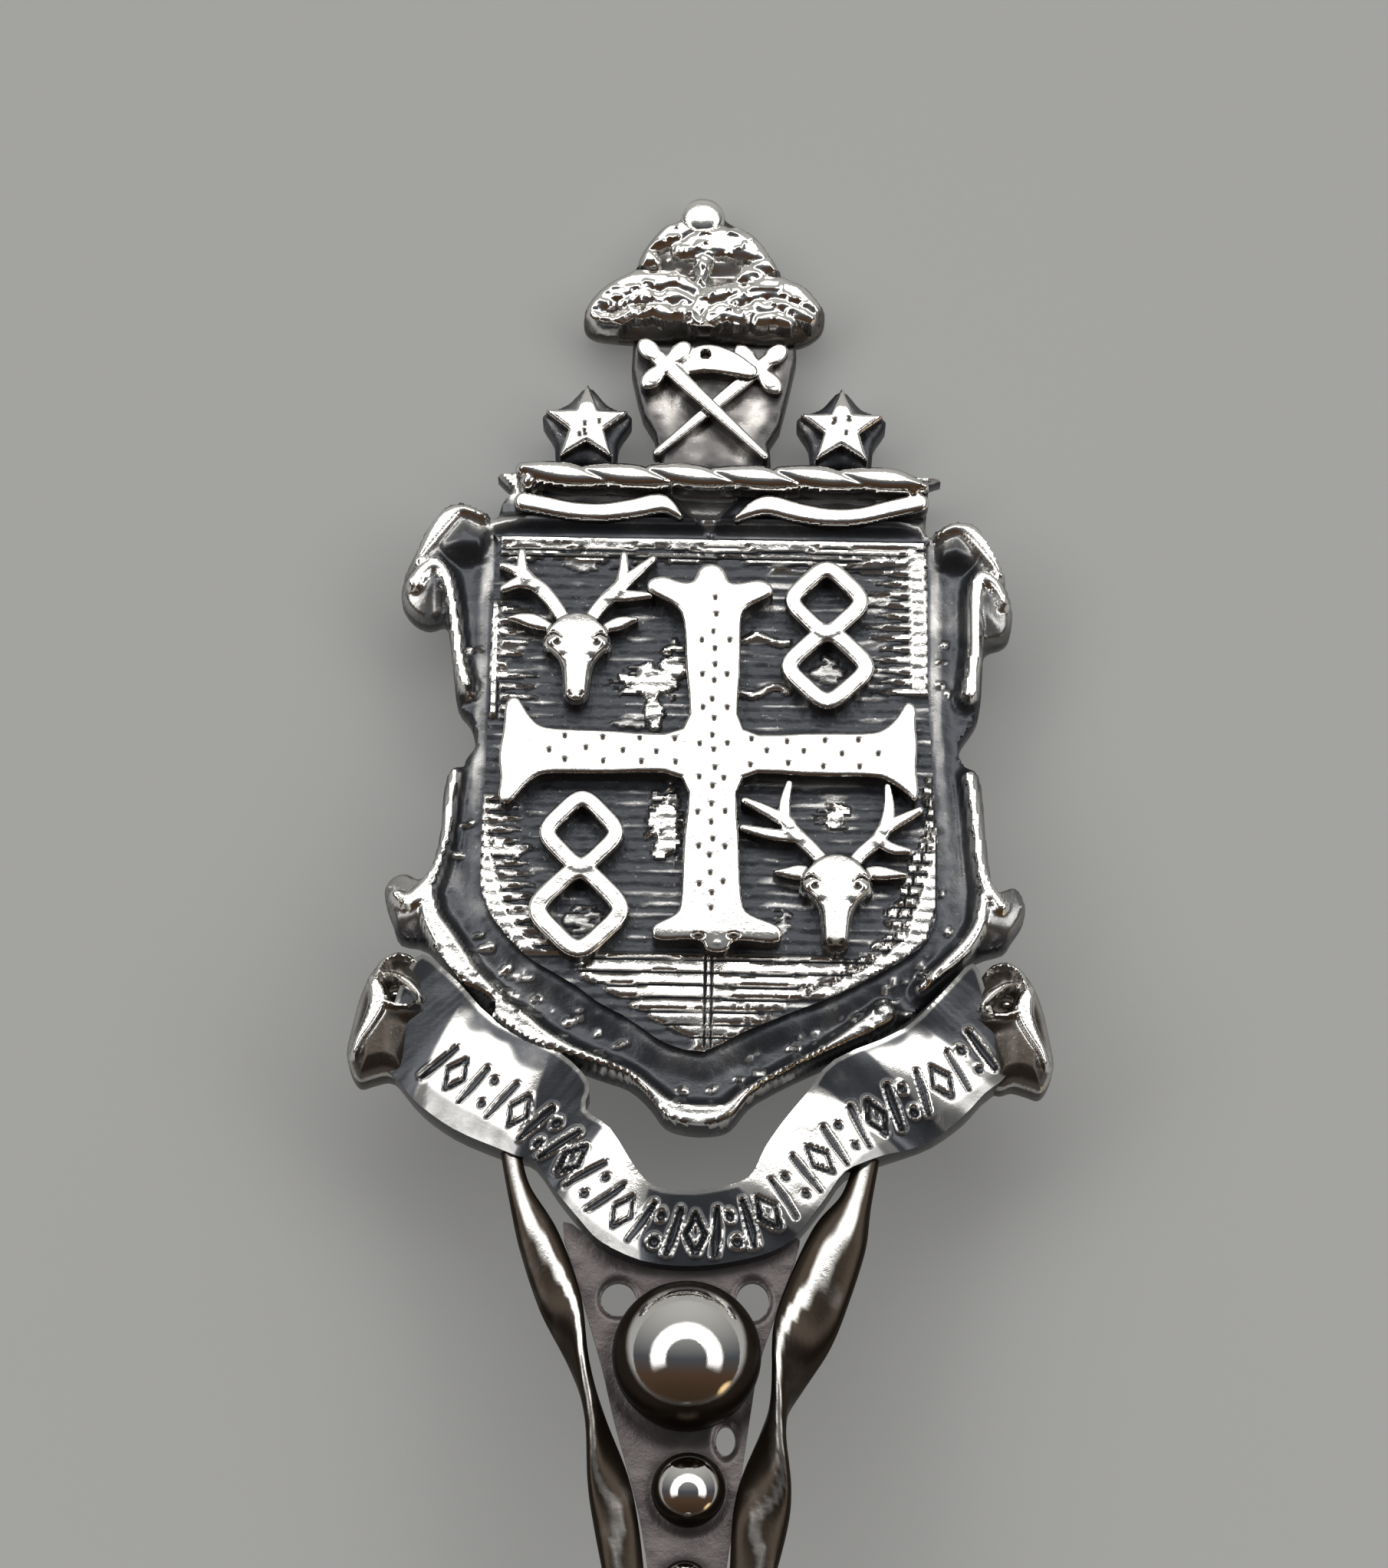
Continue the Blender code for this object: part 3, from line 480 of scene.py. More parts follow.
# Raised strands that edge the strapwork and curl over at its scrolls: u, v and half width.
RIM_STRANDS = (
    ((-7.6, 4.75, 0.24), (-7.38, 5.12, 0.2), (-7.1, 5.26, 0.19), (-6.84, 4.95, 0.18), (-6.68, 4.35, 0.16),
     (-6.52, 3.42, 0.16), (-6.42, 2.71, 0.16), (-6.24, 2.0, 0.18)),
    ((7.72, 4.4, 0.12), (7.47, 4.92, 0.17), (7.13, 5.14, 0.2), (6.97, 4.8, 0.2), (6.94, 3.91, 0.18),
     (6.92, 2.94, 0.17), (6.8, 1.95, 0.2)),
    ((-6.44, -0.45, 0.13), (-6.53, -1.27, 0.14), (-6.58, -1.99, 0.14), (-6.68, -2.55, 0.12),
     (-6.85, -3.06, 0.15), (-7.12, -3.58, 0.22), (-7.5, -3.9, 0.22), (-7.85, -3.72, 0.14)),
    ((-7.05, -3.65, 0.2), (-6.92, -4.3, 0.26), (-6.6, -4.85, 0.32), (-6.28, -5.4, 0.36),
     (-5.93, -5.82, 0.3), (-5.55, -6.08, 0.2), (-5.2, -6.38, 0.16), (-5.05, -6.7, 0.2)),
    ((-5.0, -6.8, 0.3), (-4.6, -7.05, 0.32), (-4.1, -7.4, 0.27), (-3.45, -7.7, 0.18), (-2.6, -8.02, 0.13),
     (-1.79, -8.34, 0.12), (-1.24, -8.8, 0.15), (-0.85, -9.2, 0.24), (-0.39, -9.38, 0.28),
     (0.24, -9.4, 0.28), (0.74, -9.25, 0.2), (1.2, -8.78, 0.13), (1.81, -8.38, 0.11), (2.48, -8.0, 0.11),
     (3.31, -7.54, 0.13), (4.1, -7.05, 0.22), (4.65, -6.68, 0.28)),
    ((6.8, -0.3, 0.15), (6.9, -1.03, 0.15), (7.0, -1.98, 0.15), (7.08, -2.68, 0.15), (7.24, -3.25, 0.18),
     (7.6, -3.8, 0.19)),
    ((7.18, -3.5, 0.15), (7.08, -4.2, 0.17), (6.82, -4.72, 0.19), (6.48, -5.12, 0.19),
     (6.05, -5.52, 0.16), (5.6, -5.98, 0.13)),
)
WAIST_TICKS = (
    (-5.94, 3.02, 0.16), (-6.15, 2.98, 0.12), (-6.1, 1.75, 0.14), (-6.08, -1.74, 0.16),
    (-6.3, -2.55, 0.25), (6.14, 3.36, 0.14), (6.14, 2.9, 0.2), (6.05, 2.25, 0.12), (6.25, 2.05, 0.1),
    (-5.75, -4.67, 0.14), (-5.5, -5.0, 0.2), (-5.0, -5.6, 0.16), (-4.9, -6.14, 0.2), (-4.2, -6.33, 0.16),
    (-3.3, -6.9, 0.22), (-2.0, -7.5, 0.2), (-2.6, -7.2, 0.1), (1.5, -8.15, 0.14), (1.0, -8.35, 0.12),
    (0.34, -8.63, 0.16), (-0.4, -8.68, 0.2), (3.34, -7.11, 0.12), (2.4, -7.5, 0.22), (4.0, -6.69, 0.2),
    (4.9, -6.25, 0.14), (5.6, -5.6, 0.16), (6.3, -4.4, 0.12), (6.1, -3.4, 0.1),
)
EAR_RIDGES = (
    ((-7.6, 5.3, 0.08), (-7.25, 5.95, 0.2), (-6.85, 6.55, 0.24), (-6.45, 6.8, 0.14), (-5.9, 6.6, 0.12)),
    ((7.6, 5.2, 0.08), (7.25, 5.85, 0.2), (6.85, 6.35, 0.22), (6.4, 6.5, 0.14), (6.0, 6.3, 0.1)),
)


def polished(name, box, step, shape, base, *nodes):
    """A relief in cast silver."""
    relief(name, box, step, shape, base, POLISHED, nodes)


# Heights W of the cartouche: its hollow, the foot of its ears, and the crests of the rims and ear ridges.
PLATE_HOLLOW = 0.8
EAR_FOOT = 1.0
RIM_TOP = 1.38
EAR_RIDGE_TOP = 1.34


def outer_ears(u, v, shield):
    """1 on the scrolled ears outside the rims and 0 inside them."""
    sides = ramp(np.abs(u), 6.75, 7.15) * ramp(v, -4.8, -4.2)
    return np.maximum(sides, ramp(v, 5.3, 5.9) * ramp(shield, 0.2, 0.5) * ramp(-v, -6.9, -6.6))


def plate_height(u, v, distance, shield, rims, outside):
    """The hollow beside the shield, the ears that swell outside the rims, and the rims themselves."""
    hollow = PLATE_HOLLOW + 0.14 * ramp(shield, 0.7, 0.15)
    hollow = hollow + 0.03 * noise(u, v, 0.7, 3) + 0.008 * noise(u, v, 0.2, 4)
    hollow = hollow + 0.2 * ramp(rims, 0.3, 0.0)
    ears = EAR_FOOT + 0.3 * ramp(-distance, 0.0, 0.9)
    height = hollow * (1 - outside) + ears * outside
    height = np.minimum(height, 0.45 + 1.7 * np.sqrt(np.clip(-distance, 0, 1)))
    rim = RIM_TOP - 0.2 * np.clip((rims + 0.09) / 0.09, 0, 1) ** 2 - 0.02 * ramp(-rims, 0.1, 0.36)
    return blend_max(height, np.where(rims < 0.02, rim, 0.0), 0.03)


def plate_tarnish_and_highlight(u, v, distance, shield, rims, outside):
    """Bright rims and a dark hollow, lighter beside the shield and over it, and lighter along the upper
    ears' outer edges as a painted highlight.
    """
    tarnish_and_painted_light = 1.0 - ramp(-rims, -0.05, 0.02)
    upper_ears = outside * ramp(v, 3.4, 4.4)
    # Painted highlight along the outer edges of the upper ears.
    lighter = 0.42 * upper_ears * ramp(-distance, 0.9, 0.2)
    tarnish_and_painted_light = tarnish_and_painted_light * (0.86 - lighter + 0.12 * noise(u, v, 0.8, 5))
    strip = ramp(shield, 0.06, 0.1) * ramp(-shield, -0.42, -0.3) * ramp(v, -2.5, 0.5)
    over = ramp(v, 7.1, 7.4) * (np.abs(u) > 4.4)
    return tarnish_and_painted_light - 0.22 * strip * (np.abs(u) > 5.6) - 0.5 * over - 0.25 * outside * (v < 0)


def rubbed_ticks(u, v, height):
    """Small rubbed marks in the hollow: the height with them, and how far each point shines."""
    shine = np.zeros(u.shape)
    for place, (cu, cv, ru) in enumerate(WAIST_TICKS):
        gap = ellipse(u, v, cu, cv, ru, 0.06 + 0.03 * (place % 3), -6 + 5 * (place % 4))[0]
        gap = gap + 0.04 * noise(u, v, 0.12, 6)
        height = height + 0.09 * ramp(-gap, 0.0, 0.04)
        shine = np.maximum(shine, 0.9 * ramp(-gap, 0.0, 0.03))
    return height, shine


# The shallow notch under the middle of the torse.
NOTCH = ((-1.1, 7.5), (0.8, 7.45), (0.35, 6.9), (0.05, 6.2), (-0.3, 6.6), (-0.7, 7.0))


def plate_shape(u, v):
    """The cartouche, with a notch and two pockets under the torse."""
    distance = polygon(u, v, smooth(PLATE_EDGE, 3))
    shield = polygon(u, v, SHIELD_EDGE)
    rims = strands(u, v, RIM_STRANDS)
    outside = outer_ears(u, v, shield)
    height = plate_height(u, v, distance, shield, rims, outside)
    tarnish_and_painted_light = plate_tarnish_and_highlight(u, v, distance, shield, rims, outside)
    height, shine = rubbed_ticks(u, v, height)
    for line in EAR_RIDGES:
        gap = strand(u, v, line, 4)
        ridge = EAR_RIDGE_TOP - 0.16 * ramp(gap, -0.1, 0.05)
        height = blend_max(height, np.where(gap < 0.05, ridge, 0.0), 0.04)
        # The ear ridges are kept bright: rubbed metal on a raised edge, and a painted highlight along the
        # ears' tops.
        shine = np.maximum(shine, ramp(-gap, -0.03, 0.06))
    low = ramp(-v, 4.6, 5.6) * ramp(shield, 0.1, 0.3)
    flakes = ramp(noise(u, v * 2.2, 0.18, 8) + 0.5 * noise(u, v, 0.6, 9), 0.62, 0.9) * low
    shine = np.maximum(shine, 0.8 * flakes)
    height = height + 0.04 * flakes
    notch = polygon(u, v, NOTCH)
    pockets = np.minimum(ellipse(u, v, -3.0, 7.28, 1.5, 0.22)[0], ellipse(u, v, 3.1, 7.25, 1.5, 0.24)[0])
    rosy = ramp(-np.minimum(notch, pockets), -0.05, 0.1)
    height = height - 0.12 * rosy
    shine = np.maximum(shine, 0.45 * rosy)
    return distance, height, np.minimum(tarnish_and_painted_light, 1 - shine)


HATCH_PITCH = 0.298
LEFT_SIDE = np.array(SHIELD_EDGE[:16])[::-1]
RIGHT_SIDE = np.array(SHIELD_EDGE[15:28])


def needles(v, inward, start, reach, half, seed):
    """Horizontal ridges that run in from the border: each starts broad and tapers to a point."""
    row = np.floor(v / HATCH_PITCH).astype(int)
    middle = (row + 0.5) * HATCH_PITCH
    uneven = np.random.default_rng(seed).uniform(-1, 1, 512)[row % 512]
    along = (inward - start) / (reach * (1 + 0.2 * uneven))
    width = half * HATCH_PITCH * np.clip(1.1 - along, 0, 1.1) ** 0.6
    return ramp(width - np.abs(v - middle), -0.02, 0.05) * (along < 1.08)


def border_hatching(u, v):
    """The bright hatching along the shield's sides, as a share of full height."""
    left_in = u - np.interp(v, LEFT_SIDE[:, 1], LEFT_SIDE[:, 0])
    right_in = np.interp(v, RIGHT_SIDE[:, 1], RIGHT_SIDE[:, 0]) - u
    wavy = v + 0.015 * noise(u, v, 0.4, 20)

    upper_right = ramp(v, 1.8, 1.9) * (1 - ramp(v, 5.75, 5.85))
    band = (right_in > 0.05) * ramp(0.46 - right_in, -0.03, 0.03)
    bright = upper_right * np.maximum(band, needles(wavy, right_in, 0.4, 1.0, 0.38, 21))

    upper_left = ramp(v, 1.0, 1.15) * (1 - ramp(v, 4.1, 4.4))
    band = (left_in > 0.04) * ramp(0.2 - left_in, -0.03, 0.03)
    broken = needles(wavy, left_in, 0.12, 0.95, 0.36, 22) * ramp(noise(u, v, 0.5, 25), -0.75, -0.4)
    bright = np.maximum(bright, upper_left * np.maximum(band, broken))

    lower_left = ramp(-v, 0.95, 1.1) * (1 - ramp(-v, 5.2, 5.35))
    edge = 0.12 + 0.33 * ramp(-v, 1.8, 3.6)
    band = (left_in > 0.04) * ramp(edge - left_in, -0.03, 0.03)
    hatched = np.maximum(band, needles(wavy, left_in, edge, 0.85, 0.38, 23))
    bright = np.maximum(bright, lower_left * hatched)

    lower_right = ramp(-v, 0.3, 0.5) * (1 - ramp(-v, 6.2, 6.4))
    reach = 0.28 + 0.95 * ramp(-v, 1.5, 4.0)
    beads = ramp(0.42 - np.abs((wavy / HATCH_PITCH) % 1 - 0.5), 0.0, 0.14)
    column = (right_in + 0.11 * np.floor(wavy / HATCH_PITCH)) / 0.3
    beads = beads * ramp(0.45 - np.abs(column % 1 - 0.5), 0.0, 0.12)
    beads = beads * ramp(reach * (1 + 0.35 * noise(u, v, 0.3, 31)) - right_in, -0.03, 0.03)
    band = ramp(0.12 + 0.45 * ramp(-v, 2.2, 4.2) - right_in, -0.03, 0.03)
    return np.maximum(bright, lower_right * (right_in > 0.05) * np.maximum(band, beads))


def base_hatching(u, v):
    """The broad bright bands at the shield's point, with a line down their middle."""
    low = np.interp(v, (-7.5, -5.67, -5.1), (-0.3, -3.3, -2.9))
    high = np.interp(v, (-7.45, -5.55, -5.0), (1.1, 3.85, 3.5))
    ragged = 0.25 * noise(u * 0.2, v, 0.15, 42)
    area = ramp(u - low - ragged, 0.0, 0.25) * ramp(high - ragged - u, 0.0, 0.25) * ramp(-v, 5.15, 5.25)
    rows = np.abs(((v + 0.04 * noise(u, v, 1.0, 41)) / 0.335) % 1 - 0.5)
    lines = ramp(0.45 - rows, 0.0, 0.11)
    middle = ramp(np.abs(np.abs(u - 0.17) - 0.08), 0.0, 0.04)
    dotted = 1 - 0.9 * ramp(u, 0.6, 1.0) * ramp(noise(u, v, 0.17, 45), 0.1, 0.4) * ramp(-6.9 - v, -0.9, 0.4)
    return area * lines * middle * dotted


def top_hatching(u, v):
    """Broken fine lines under the shield's upper border, and the border itself."""
    top = ramp(v, 5.1, 5.3) * (1 - ramp(v, 5.86, 5.92))
    lines = ramp(0.36 - np.abs(((v + 0.02 * noise(u, v, 0.8, 43)) / 0.19) % 1 - 0.5), 0.0, 0.1)
    broken = noise(u, v * 5, 0.6, 44) + 2.2 * (v - 5.45) + 0.25 * ramp(u, -1.0, 1.5)
    hatched = top * lines * ramp(broken, -0.2, 0.25) * (np.abs(u) < 5.4)
    border = ramp(v, 5.86, 5.9) * (1 - ramp(v, 6.04, 6.08)) * (np.abs(u - 0.1) < 5.5)
    return np.maximum(hatched, border)


# Worn patches of the field: centre and half sizes, the first the most solid and the brightest.
PATCHES = (
    (-1.5, 2.1, 0.8, 0.5), (-0.85, 2.6, 0.35, 0.6), (-1.35, 1.2, 0.25, 0.45), (-1.0, -1.75, 0.45, 0.95),
    (-5.0, -2.5, 0.7, 0.2), (3.3, -1.5, 0.5, 0.45), (-3.3, 5.3, 0.6, 0.2), (-0.9, -1.2, 0.25, 0.4),
    (-3.1, -4.3, 0.55, 0.5), (3.1, 2.5, 0.5, 0.4), (2.0, -4.4, 0.3, 0.5), (-2.0, 0.95, 0.5, 0.12),
)
SOLID_PATCHES = 4
BRIGHT_PATCHES = 6


def rough_patches(u, v):
    """Worn rough patches between the charges: the first are the brightest and most solid."""
    bright = np.zeros(u.shape)
    for place, (cu, cv, ru, rv) in enumerate(PATCHES):
        share = ellipse(u, v, cu, cv, ru, rv)[1]
        solid = 0.95 if place < SOLID_PATCHES else 0.5
        strength = 1.0 if place < BRIGHT_PATCHES else 0.5
        grain = noise(u * 0.6, v * 1.6, 0.13, 50 + place)
        rough = ramp(grain + solid - 1.1 * share ** 2, -0.2, 0.15)
        bright = np.maximum(bright, strength * rough * (share < 1.3))
    return bright


# Two short bright stems to the right of the cross's post: u, v and half width.
FIELD_STEMS = (
    ((0.92, 3.25, 0.07), (1.25, 3.42, 0.1), (1.54, 3.34, 0.08), (1.85, 3.2, 0.09), (2.1, 3.22, 0.07)),
    ((0.85, 1.86, 0.07), (1.2, 1.78, 0.1), (1.56, 1.95, 0.08), (1.85, 2.02, 0.09), (2.11, 1.88, 0.07)),
)


def shield_shape(u, v):
    """The blackened field, its bright hatching and the rough patches between the charges."""
    distance = polygon(u, v, smooth(SHIELD_EDGE, 2))
    rows = np.cos(2 * math.pi * (v + 0.015 * noise(u, v, 0.5, 10)) / HATCH_PITCH)
    height = SHIELD_FLOOR + 0.02 * noise(u, v, 1.4, 11) + 0.01 * noise(u, v, 0.16, 13) + 0.009 * rows
    bright = np.maximum(border_hatching(u, v), base_hatching(u, v))
    bright = np.maximum(bright, top_hatching(u, v))
    bright = np.maximum(bright, rough_patches(u, v))
    for line in FIELD_STEMS:
        bright = np.maximum(bright, ramp(-strand(u, v, line, 4), -0.03, 0.03))
    streaks = noise(u * 0.35, v * 2.4, 0.3, 46) + 0.3 * rows + 0.5 * noise(u, v, 1.1, 47)
    height = height + 0.12 * bright
    height = np.minimum(height, rounded_top(distance, SHIELD_FLOOR + 0.14, 0.08))
    tarnish_and_painted_light = 0.95 - np.maximum(0.95 * bright, 0.5 * ramp(streaks, 0.2, 1.1))
    return distance, height, tarnish_and_painted_light


def make_cartouche():
    rims = ["rim_" + place for place in (
        "upper_left", "upper_right", "lower_left", "lower_right", "diagonal_left", "diagonal_right",
        "base")]
    relief("cartouche_plate", (-8.5, -10.0, 8.6, 8.5), 0.075, plate_shape, 0.0, PLATE,
           ["finial_plate"] + rims)
    relief("shield_field", (-6.0, -8.0, 6.3, 6.4), 0.055, shield_shape, 0.85, FIELD,
           ("shield",))


# --- charges ------------------------------------------------------------------------------------------

CROSS_EDGE = (
    (0.9, -0.61), (2.5, -0.6), (4.25, -0.58), (4.75, -0.72), (5.2, -1.05), (5.36, -1.22), (5.48, -0.95),
    (5.4, -0.3), (5.44, 0.26), (5.38, 0.9), (5.4, 1.3), (5.15, 1.46), (4.95, 1.1), (4.6, 0.72),
    (4.1, 0.58), (2.5, 0.57), (0.9, 0.57), (0.88, 2.2), (0.86, 3.55), (1.0, 3.95), (1.45, 4.2),
    (1.68, 4.36), (1.62, 4.6), (1.3, 4.74), (0.85, 4.64), (0.54, 4.66), (0.42, 5.0), (0.08, 5.2),
    (-0.26, 5.02), (-0.38, 4.68), (-0.7, 4.64), (-1.15, 4.8), (-1.5, 4.7), (-1.6, 4.45), (-1.35, 4.25),
    (-0.88, 4.0), (-0.62, 3.6), (-0.54, 2.2), (-0.5, 0.56), (-2.4, 0.56), (-3.9, 0.58), (-4.35, 0.72),
    (-4.65, 1.1), (-4.85, 1.42), (-5.15, 1.3), (-5.18, 0.6), (-5.3, -0.15), (-5.22, -0.75), (-5.28, -1.3),
    (-5.0, -1.46), (-4.7, -1.1), (-4.35, -0.75), (-3.91, -0.62), (-2.4, -0.62), (-0.5, -0.63),
    (-0.52, -2.2), (-0.55, -3.9), (-0.66, -4.3), (-1.0, -4.5), (-1.25, -4.66), (-1.25, -4.95),
    (-0.9, -5.02), (-0.4, -4.98), (0.0, -5.02), (0.1, -5.24), (0.4, -5.31), (0.68, -5.22), (0.78, -5.0),
    (1.2, -4.99), (1.7, -5.04), (2.0, -4.96), (1.98, -4.66), (1.7, -4.5), (1.2, -4.3), (0.98, -3.9),
    (0.9, -2.2),
)


def soften_corners(points):
    """Rounds an outline a little: each point moves towards the middle of its neighbours."""
    line = smooth(points, 3)
    return (np.roll(line, 1, 0) + 2 * line + np.roll(line, -1, 0)) / 4


# The punched dots: their pitch, and U of the post's middle.
PIT_PITCH = 0.47
POST_U = 0.2


def cross_pits():
    """The punched dots: a close row down the post, and sparse staggered ones beside it and on the bar."""
    random = np.random.default_rng(7)
    pits = [(POST_U, PIT_PITCH * step) for step in range(-9, 10)]
    pits += [(POST_U + 0.33 * side, PIT_PITCH * (step + 0.5)) for step in range(-8, 8,
                                                                                2) for side in (-1, 1)]
    for way in (1, -1):
        pits += [
            (POST_U + way * PIT_PITCH * step, 0.33 * side)
            for step in range(2, 10) for side in (-1, 0, 1) if (step + side) % 2
        ]
    return [(u + random.uniform(-0.05, 0.05), v + random.uniform(-0.05, 0.05)) for u, v in pits]


def punch(u, v, height, tarnish_and_painted_light, pits, radius, depth):
    """Presses round blackened dots into a surface."""
    for cu, cv in pits:
        hit = np.exp(-((u - cu) ** 2 + (v - cv) ** 2) / radius ** 2)
        height = height - depth * hit
        tarnish_and_painted_light = np.maximum(tarnish_and_painted_light, np.minimum(1.5 * hit, 1.0))
    return height, tarnish_and_painted_light


def cross_shape(u, v):
    """The flared cross: its arms' ends lie a little lower, and a small knob ends its foot."""
    distance = polygon(u, v, soften_corners(CROSS_EDGE))
    height = rounded_top(distance, CHARGE_TOP, 0.08) + 0.006 * noise(u, v, 0.7, 61)
    height = height - 0.1 * ramp(v, 4.4, 5.4) - 0.05 * ramp(-v, 4.75, 5.3)
    height = height - 0.03 * ramp(np.abs(u - 0.1), 4.6, 5.4)
    # A little painted shade towards the top arm's end, where it dips away from the light.
    tarnish_and_painted_light = 0.1 * ramp(v, 4.6, 5.3)
    share = ellipse(u, v, 0.38, -5.08, 0.3, 0.2)[1]
    height = blend_max(height, np.where(share < 1, dome(share, 1.6, 1.95), 0.0), 0.03)
    for cu, cv in ((-0.1, -4.9), (0.8, -4.88)):
        hole = ellipse(u, v, cu, cv, 0.13, 0.07)[0]
        height, tarnish_and_painted_light = engrave(height, tarnish_and_painted_light, hole, 0.12, 0.04)
    height, tarnish_and_painted_light = punch(u, v, height, tarnish_and_painted_light, cross_pits(), 0.062, 0.02)
    return distance, height, tarnish_and_painted_light


HEAD_EDGE = (
    (-0.76, 0.42), (-0.36, 0.75), (0.0, 0.84), (0.36, 0.75), (0.76, 0.42), (0.87, 0.0), (0.66, -0.28),
    (0.45, -0.52), (0.36, -1.05), (0.3, -1.5), (0.0, -1.66), (-0.3, -1.5), (-0.36, -1.05), (-0.42, -0.52),
    (-0.64, -0.26), (-0.87, 0.0),
)
# Crest heights W of the stags' brows, ears and antlers.
BROW_TOP = 2.02
EAR_TOP = 1.82
ANTLER_TOP = 1.84


def stag_face(a, b, height, tarnish_and_painted_light):
    """Engraves the eyes and their lids, the nostrils and the mouth."""
    for side in (-1, 1):
        lid = ((0.4 * side, 0.12, 0.01), (0.62 * side, 0.24, 0.035), (0.86 * side, 0.08, 0.01))
        height, tarnish_and_painted_light = engrave(height, tarnish_and_painted_light, strand(a, b, lid, 4), 0.12, 0.03)
        eye = ellipse(a, b, 0.52 * side, -0.02, 0.09, 0.07)[0]
        height, tarnish_and_painted_light = engrave(height, tarnish_and_painted_light, eye, 0.06, 0.03)
        nostril = ellipse(a, b, 0.15 * side, -1.42, 0.06, 0.035, 40 * side)[0]
        height, tarnish_and_painted_light = engrave(height, tarnish_and_painted_light, nostril, 0.08, 0.03)
    mouth = strand(a, b, ((-0.3, -1.66, 0.03), (0.0, -1.74, 0.05), (0.3, -1.66, 0.03)), 3)
    return engrave(height, tarnish_and_painted_light, mouth, 0.25, 0.05)


def stag_shape(cu, cv, size, ears, antlers, nose_shade):
    """A stag's head from the front: domed brow, eyes, straight muzzle, leaf-shaped ears and antlers."""

    def shape(u, v):
        a, b = (u - cu) / size, (v - cv) / size
        face = polygon(a, b, soften_corners(HEAD_EDGE)) * size
        crown = BROW_TOP - 0.2 * np.clip(b - 0.2, 0, 1) ** 1.5
        crown = crown - 0.06 * np.clip(np.abs(a) / 0.85, 0, 1) ** 2
        features = [(face, np.minimum(crown, rounded_top(face, 2.05, 0.2 * size, 0.36)))]
        for side in (-1, 1):
            gap, share = ellipse(a, b, 0.62 * side, 0.0, 0.28, 0.22, -18 * side)
            features.append((gap * size, dome(share, 1.6, 2.03)))
        for ear in ears:
            gap = strand(u, v, ear, 6) - 0.03
            features.append((gap, rounded_top(gap, EAR_TOP, 0.07, 0.1)))
        for antler in antlers:
            gap = strand(u, v, antler, 5) - 0.05
            features.append((gap, rounded_top(gap, ANTLER_TOP, 0.06, 0.07)))
        distance, height = merge(features, 0.04)
        tarnish_and_painted_light = 0.15 * ramp(b, 0.4, 0.8) * (face < 0)
        bridge = np.exp(-((np.abs(a) - 0.36) / 0.1) ** 2) * ramp(-b, 0.25, 0.5) * (face < 0)
        height = height - 0.05 * bridge
        tarnish_and_painted_light = np.maximum(tarnish_and_painted_light, 0.3 * bridge)
        # Painted shade on the cheeks towards the face's outline, stronger on the right side.
        cheek_shade = ramp(face, -0.2, -0.04) * (face < 0) * ramp(-b, -0.3, 0.2)
        tarnish_and_painted_light = np.maximum(tarnish_and_painted_light, 0.5 * cheek_shade * ramp(a, -0.4, 0.1))
        height, tarnish_and_painted_light = stag_face(a, b, height, tarnish_and_painted_light)
        # Painted shade under the muzzle.
        if nose_shade:
            tarnish_and_painted_light = np.maximum(tarnish_and_painted_light, (face < 0) * ramp(-b, 1.15, 1.5))
        return distance, height, tarnish_and_painted_light

    return shape


UPPER_EARS = (
    ((-4.1, 3.4, 0.1), (-4.5, 3.55, 0.17), (-4.85, 3.62, 0.11), (-5.12, 3.62, 0.03)),
    ((-2.62, 3.4, 0.1), (-2.3, 3.52, 0.15), (-2.05, 3.6, 0.09), (-1.85, 3.63, 0.03)),
)
UPPER_ANTLERS = (
    ((-3.65, 3.5, 0.13), (-3.95, 3.98, 0.13), (-4.3, 4.4, 0.14), (-4.65, 4.68, 0.13), (-4.83, 5.0, 0.1),
     (-4.85, 5.42, 0.05)),
    ((-4.5, 4.55, 0.12), (-4.9, 4.6, 0.11), (-5.3, 4.42, 0.05)),
    ((-4.7, 4.75, 0.1), (-5.05, 4.95, 0.08), (-5.35, 5.05, 0.04)),
    ((-3.1, 3.5, 0.13), (-2.82, 3.94, 0.13), (-2.5, 4.3, 0.14), (-2.16, 4.63, 0.12), (-1.8, 4.98, 0.09),
     (-1.44, 5.3, 0.04)),
    ((-2.3, 4.5, 0.1), (-2.2, 4.95, 0.09), (-2.2, 5.4, 0.04)),
    ((-2.55, 4.25, 0.1), (-2.05, 4.28, 0.1), (-1.5, 4.3, 0.04)),
)
LOWER_EARS = (
    ((2.75, -3.12, 0.1), (2.45, -3.12, 0.17), (2.1, -3.13, 0.1), (1.83, -3.13, 0.03)),
    ((4.1, -3.1, 0.1), (4.45, -3.1, 0.16), (4.85, -3.13, 0.1), (5.15, -3.15, 0.03)),
)
LOWER_ANTLERS = (
    ((3.15, -2.95, 0.13), (2.85, -2.6, 0.13), (2.45, -2.2, 0.14), (2.1, -1.8, 0.13), (2.05, -1.3, 0.1),
     (2.16, -0.76, 0.05)),
    ((2.2, -1.85, 0.12), (1.6, -1.5, 0.1), (1.03, -1.24, 0.05)),
    ((2.45, -2.2, 0.1), (1.7, -2.12, 0.1), (0.98, -1.97, 0.05)),
    ((3.75, -2.95, 0.13), (4.04, -2.6, 0.13), (4.45, -2.2, 0.14), (4.66, -1.75, 0.13), (4.72, -1.3, 0.1),
     (4.68, -0.8, 0.05)),
    ((4.6, -1.95, 0.11), (5.0, -1.7, 0.1), (5.5, -1.42, 0.05)),
    ((4.45, -2.25, 0.1), (4.8, -2.45, 0.1), (5.22, -2.52, 0.04)),
)
LINK_TOP = 1.88


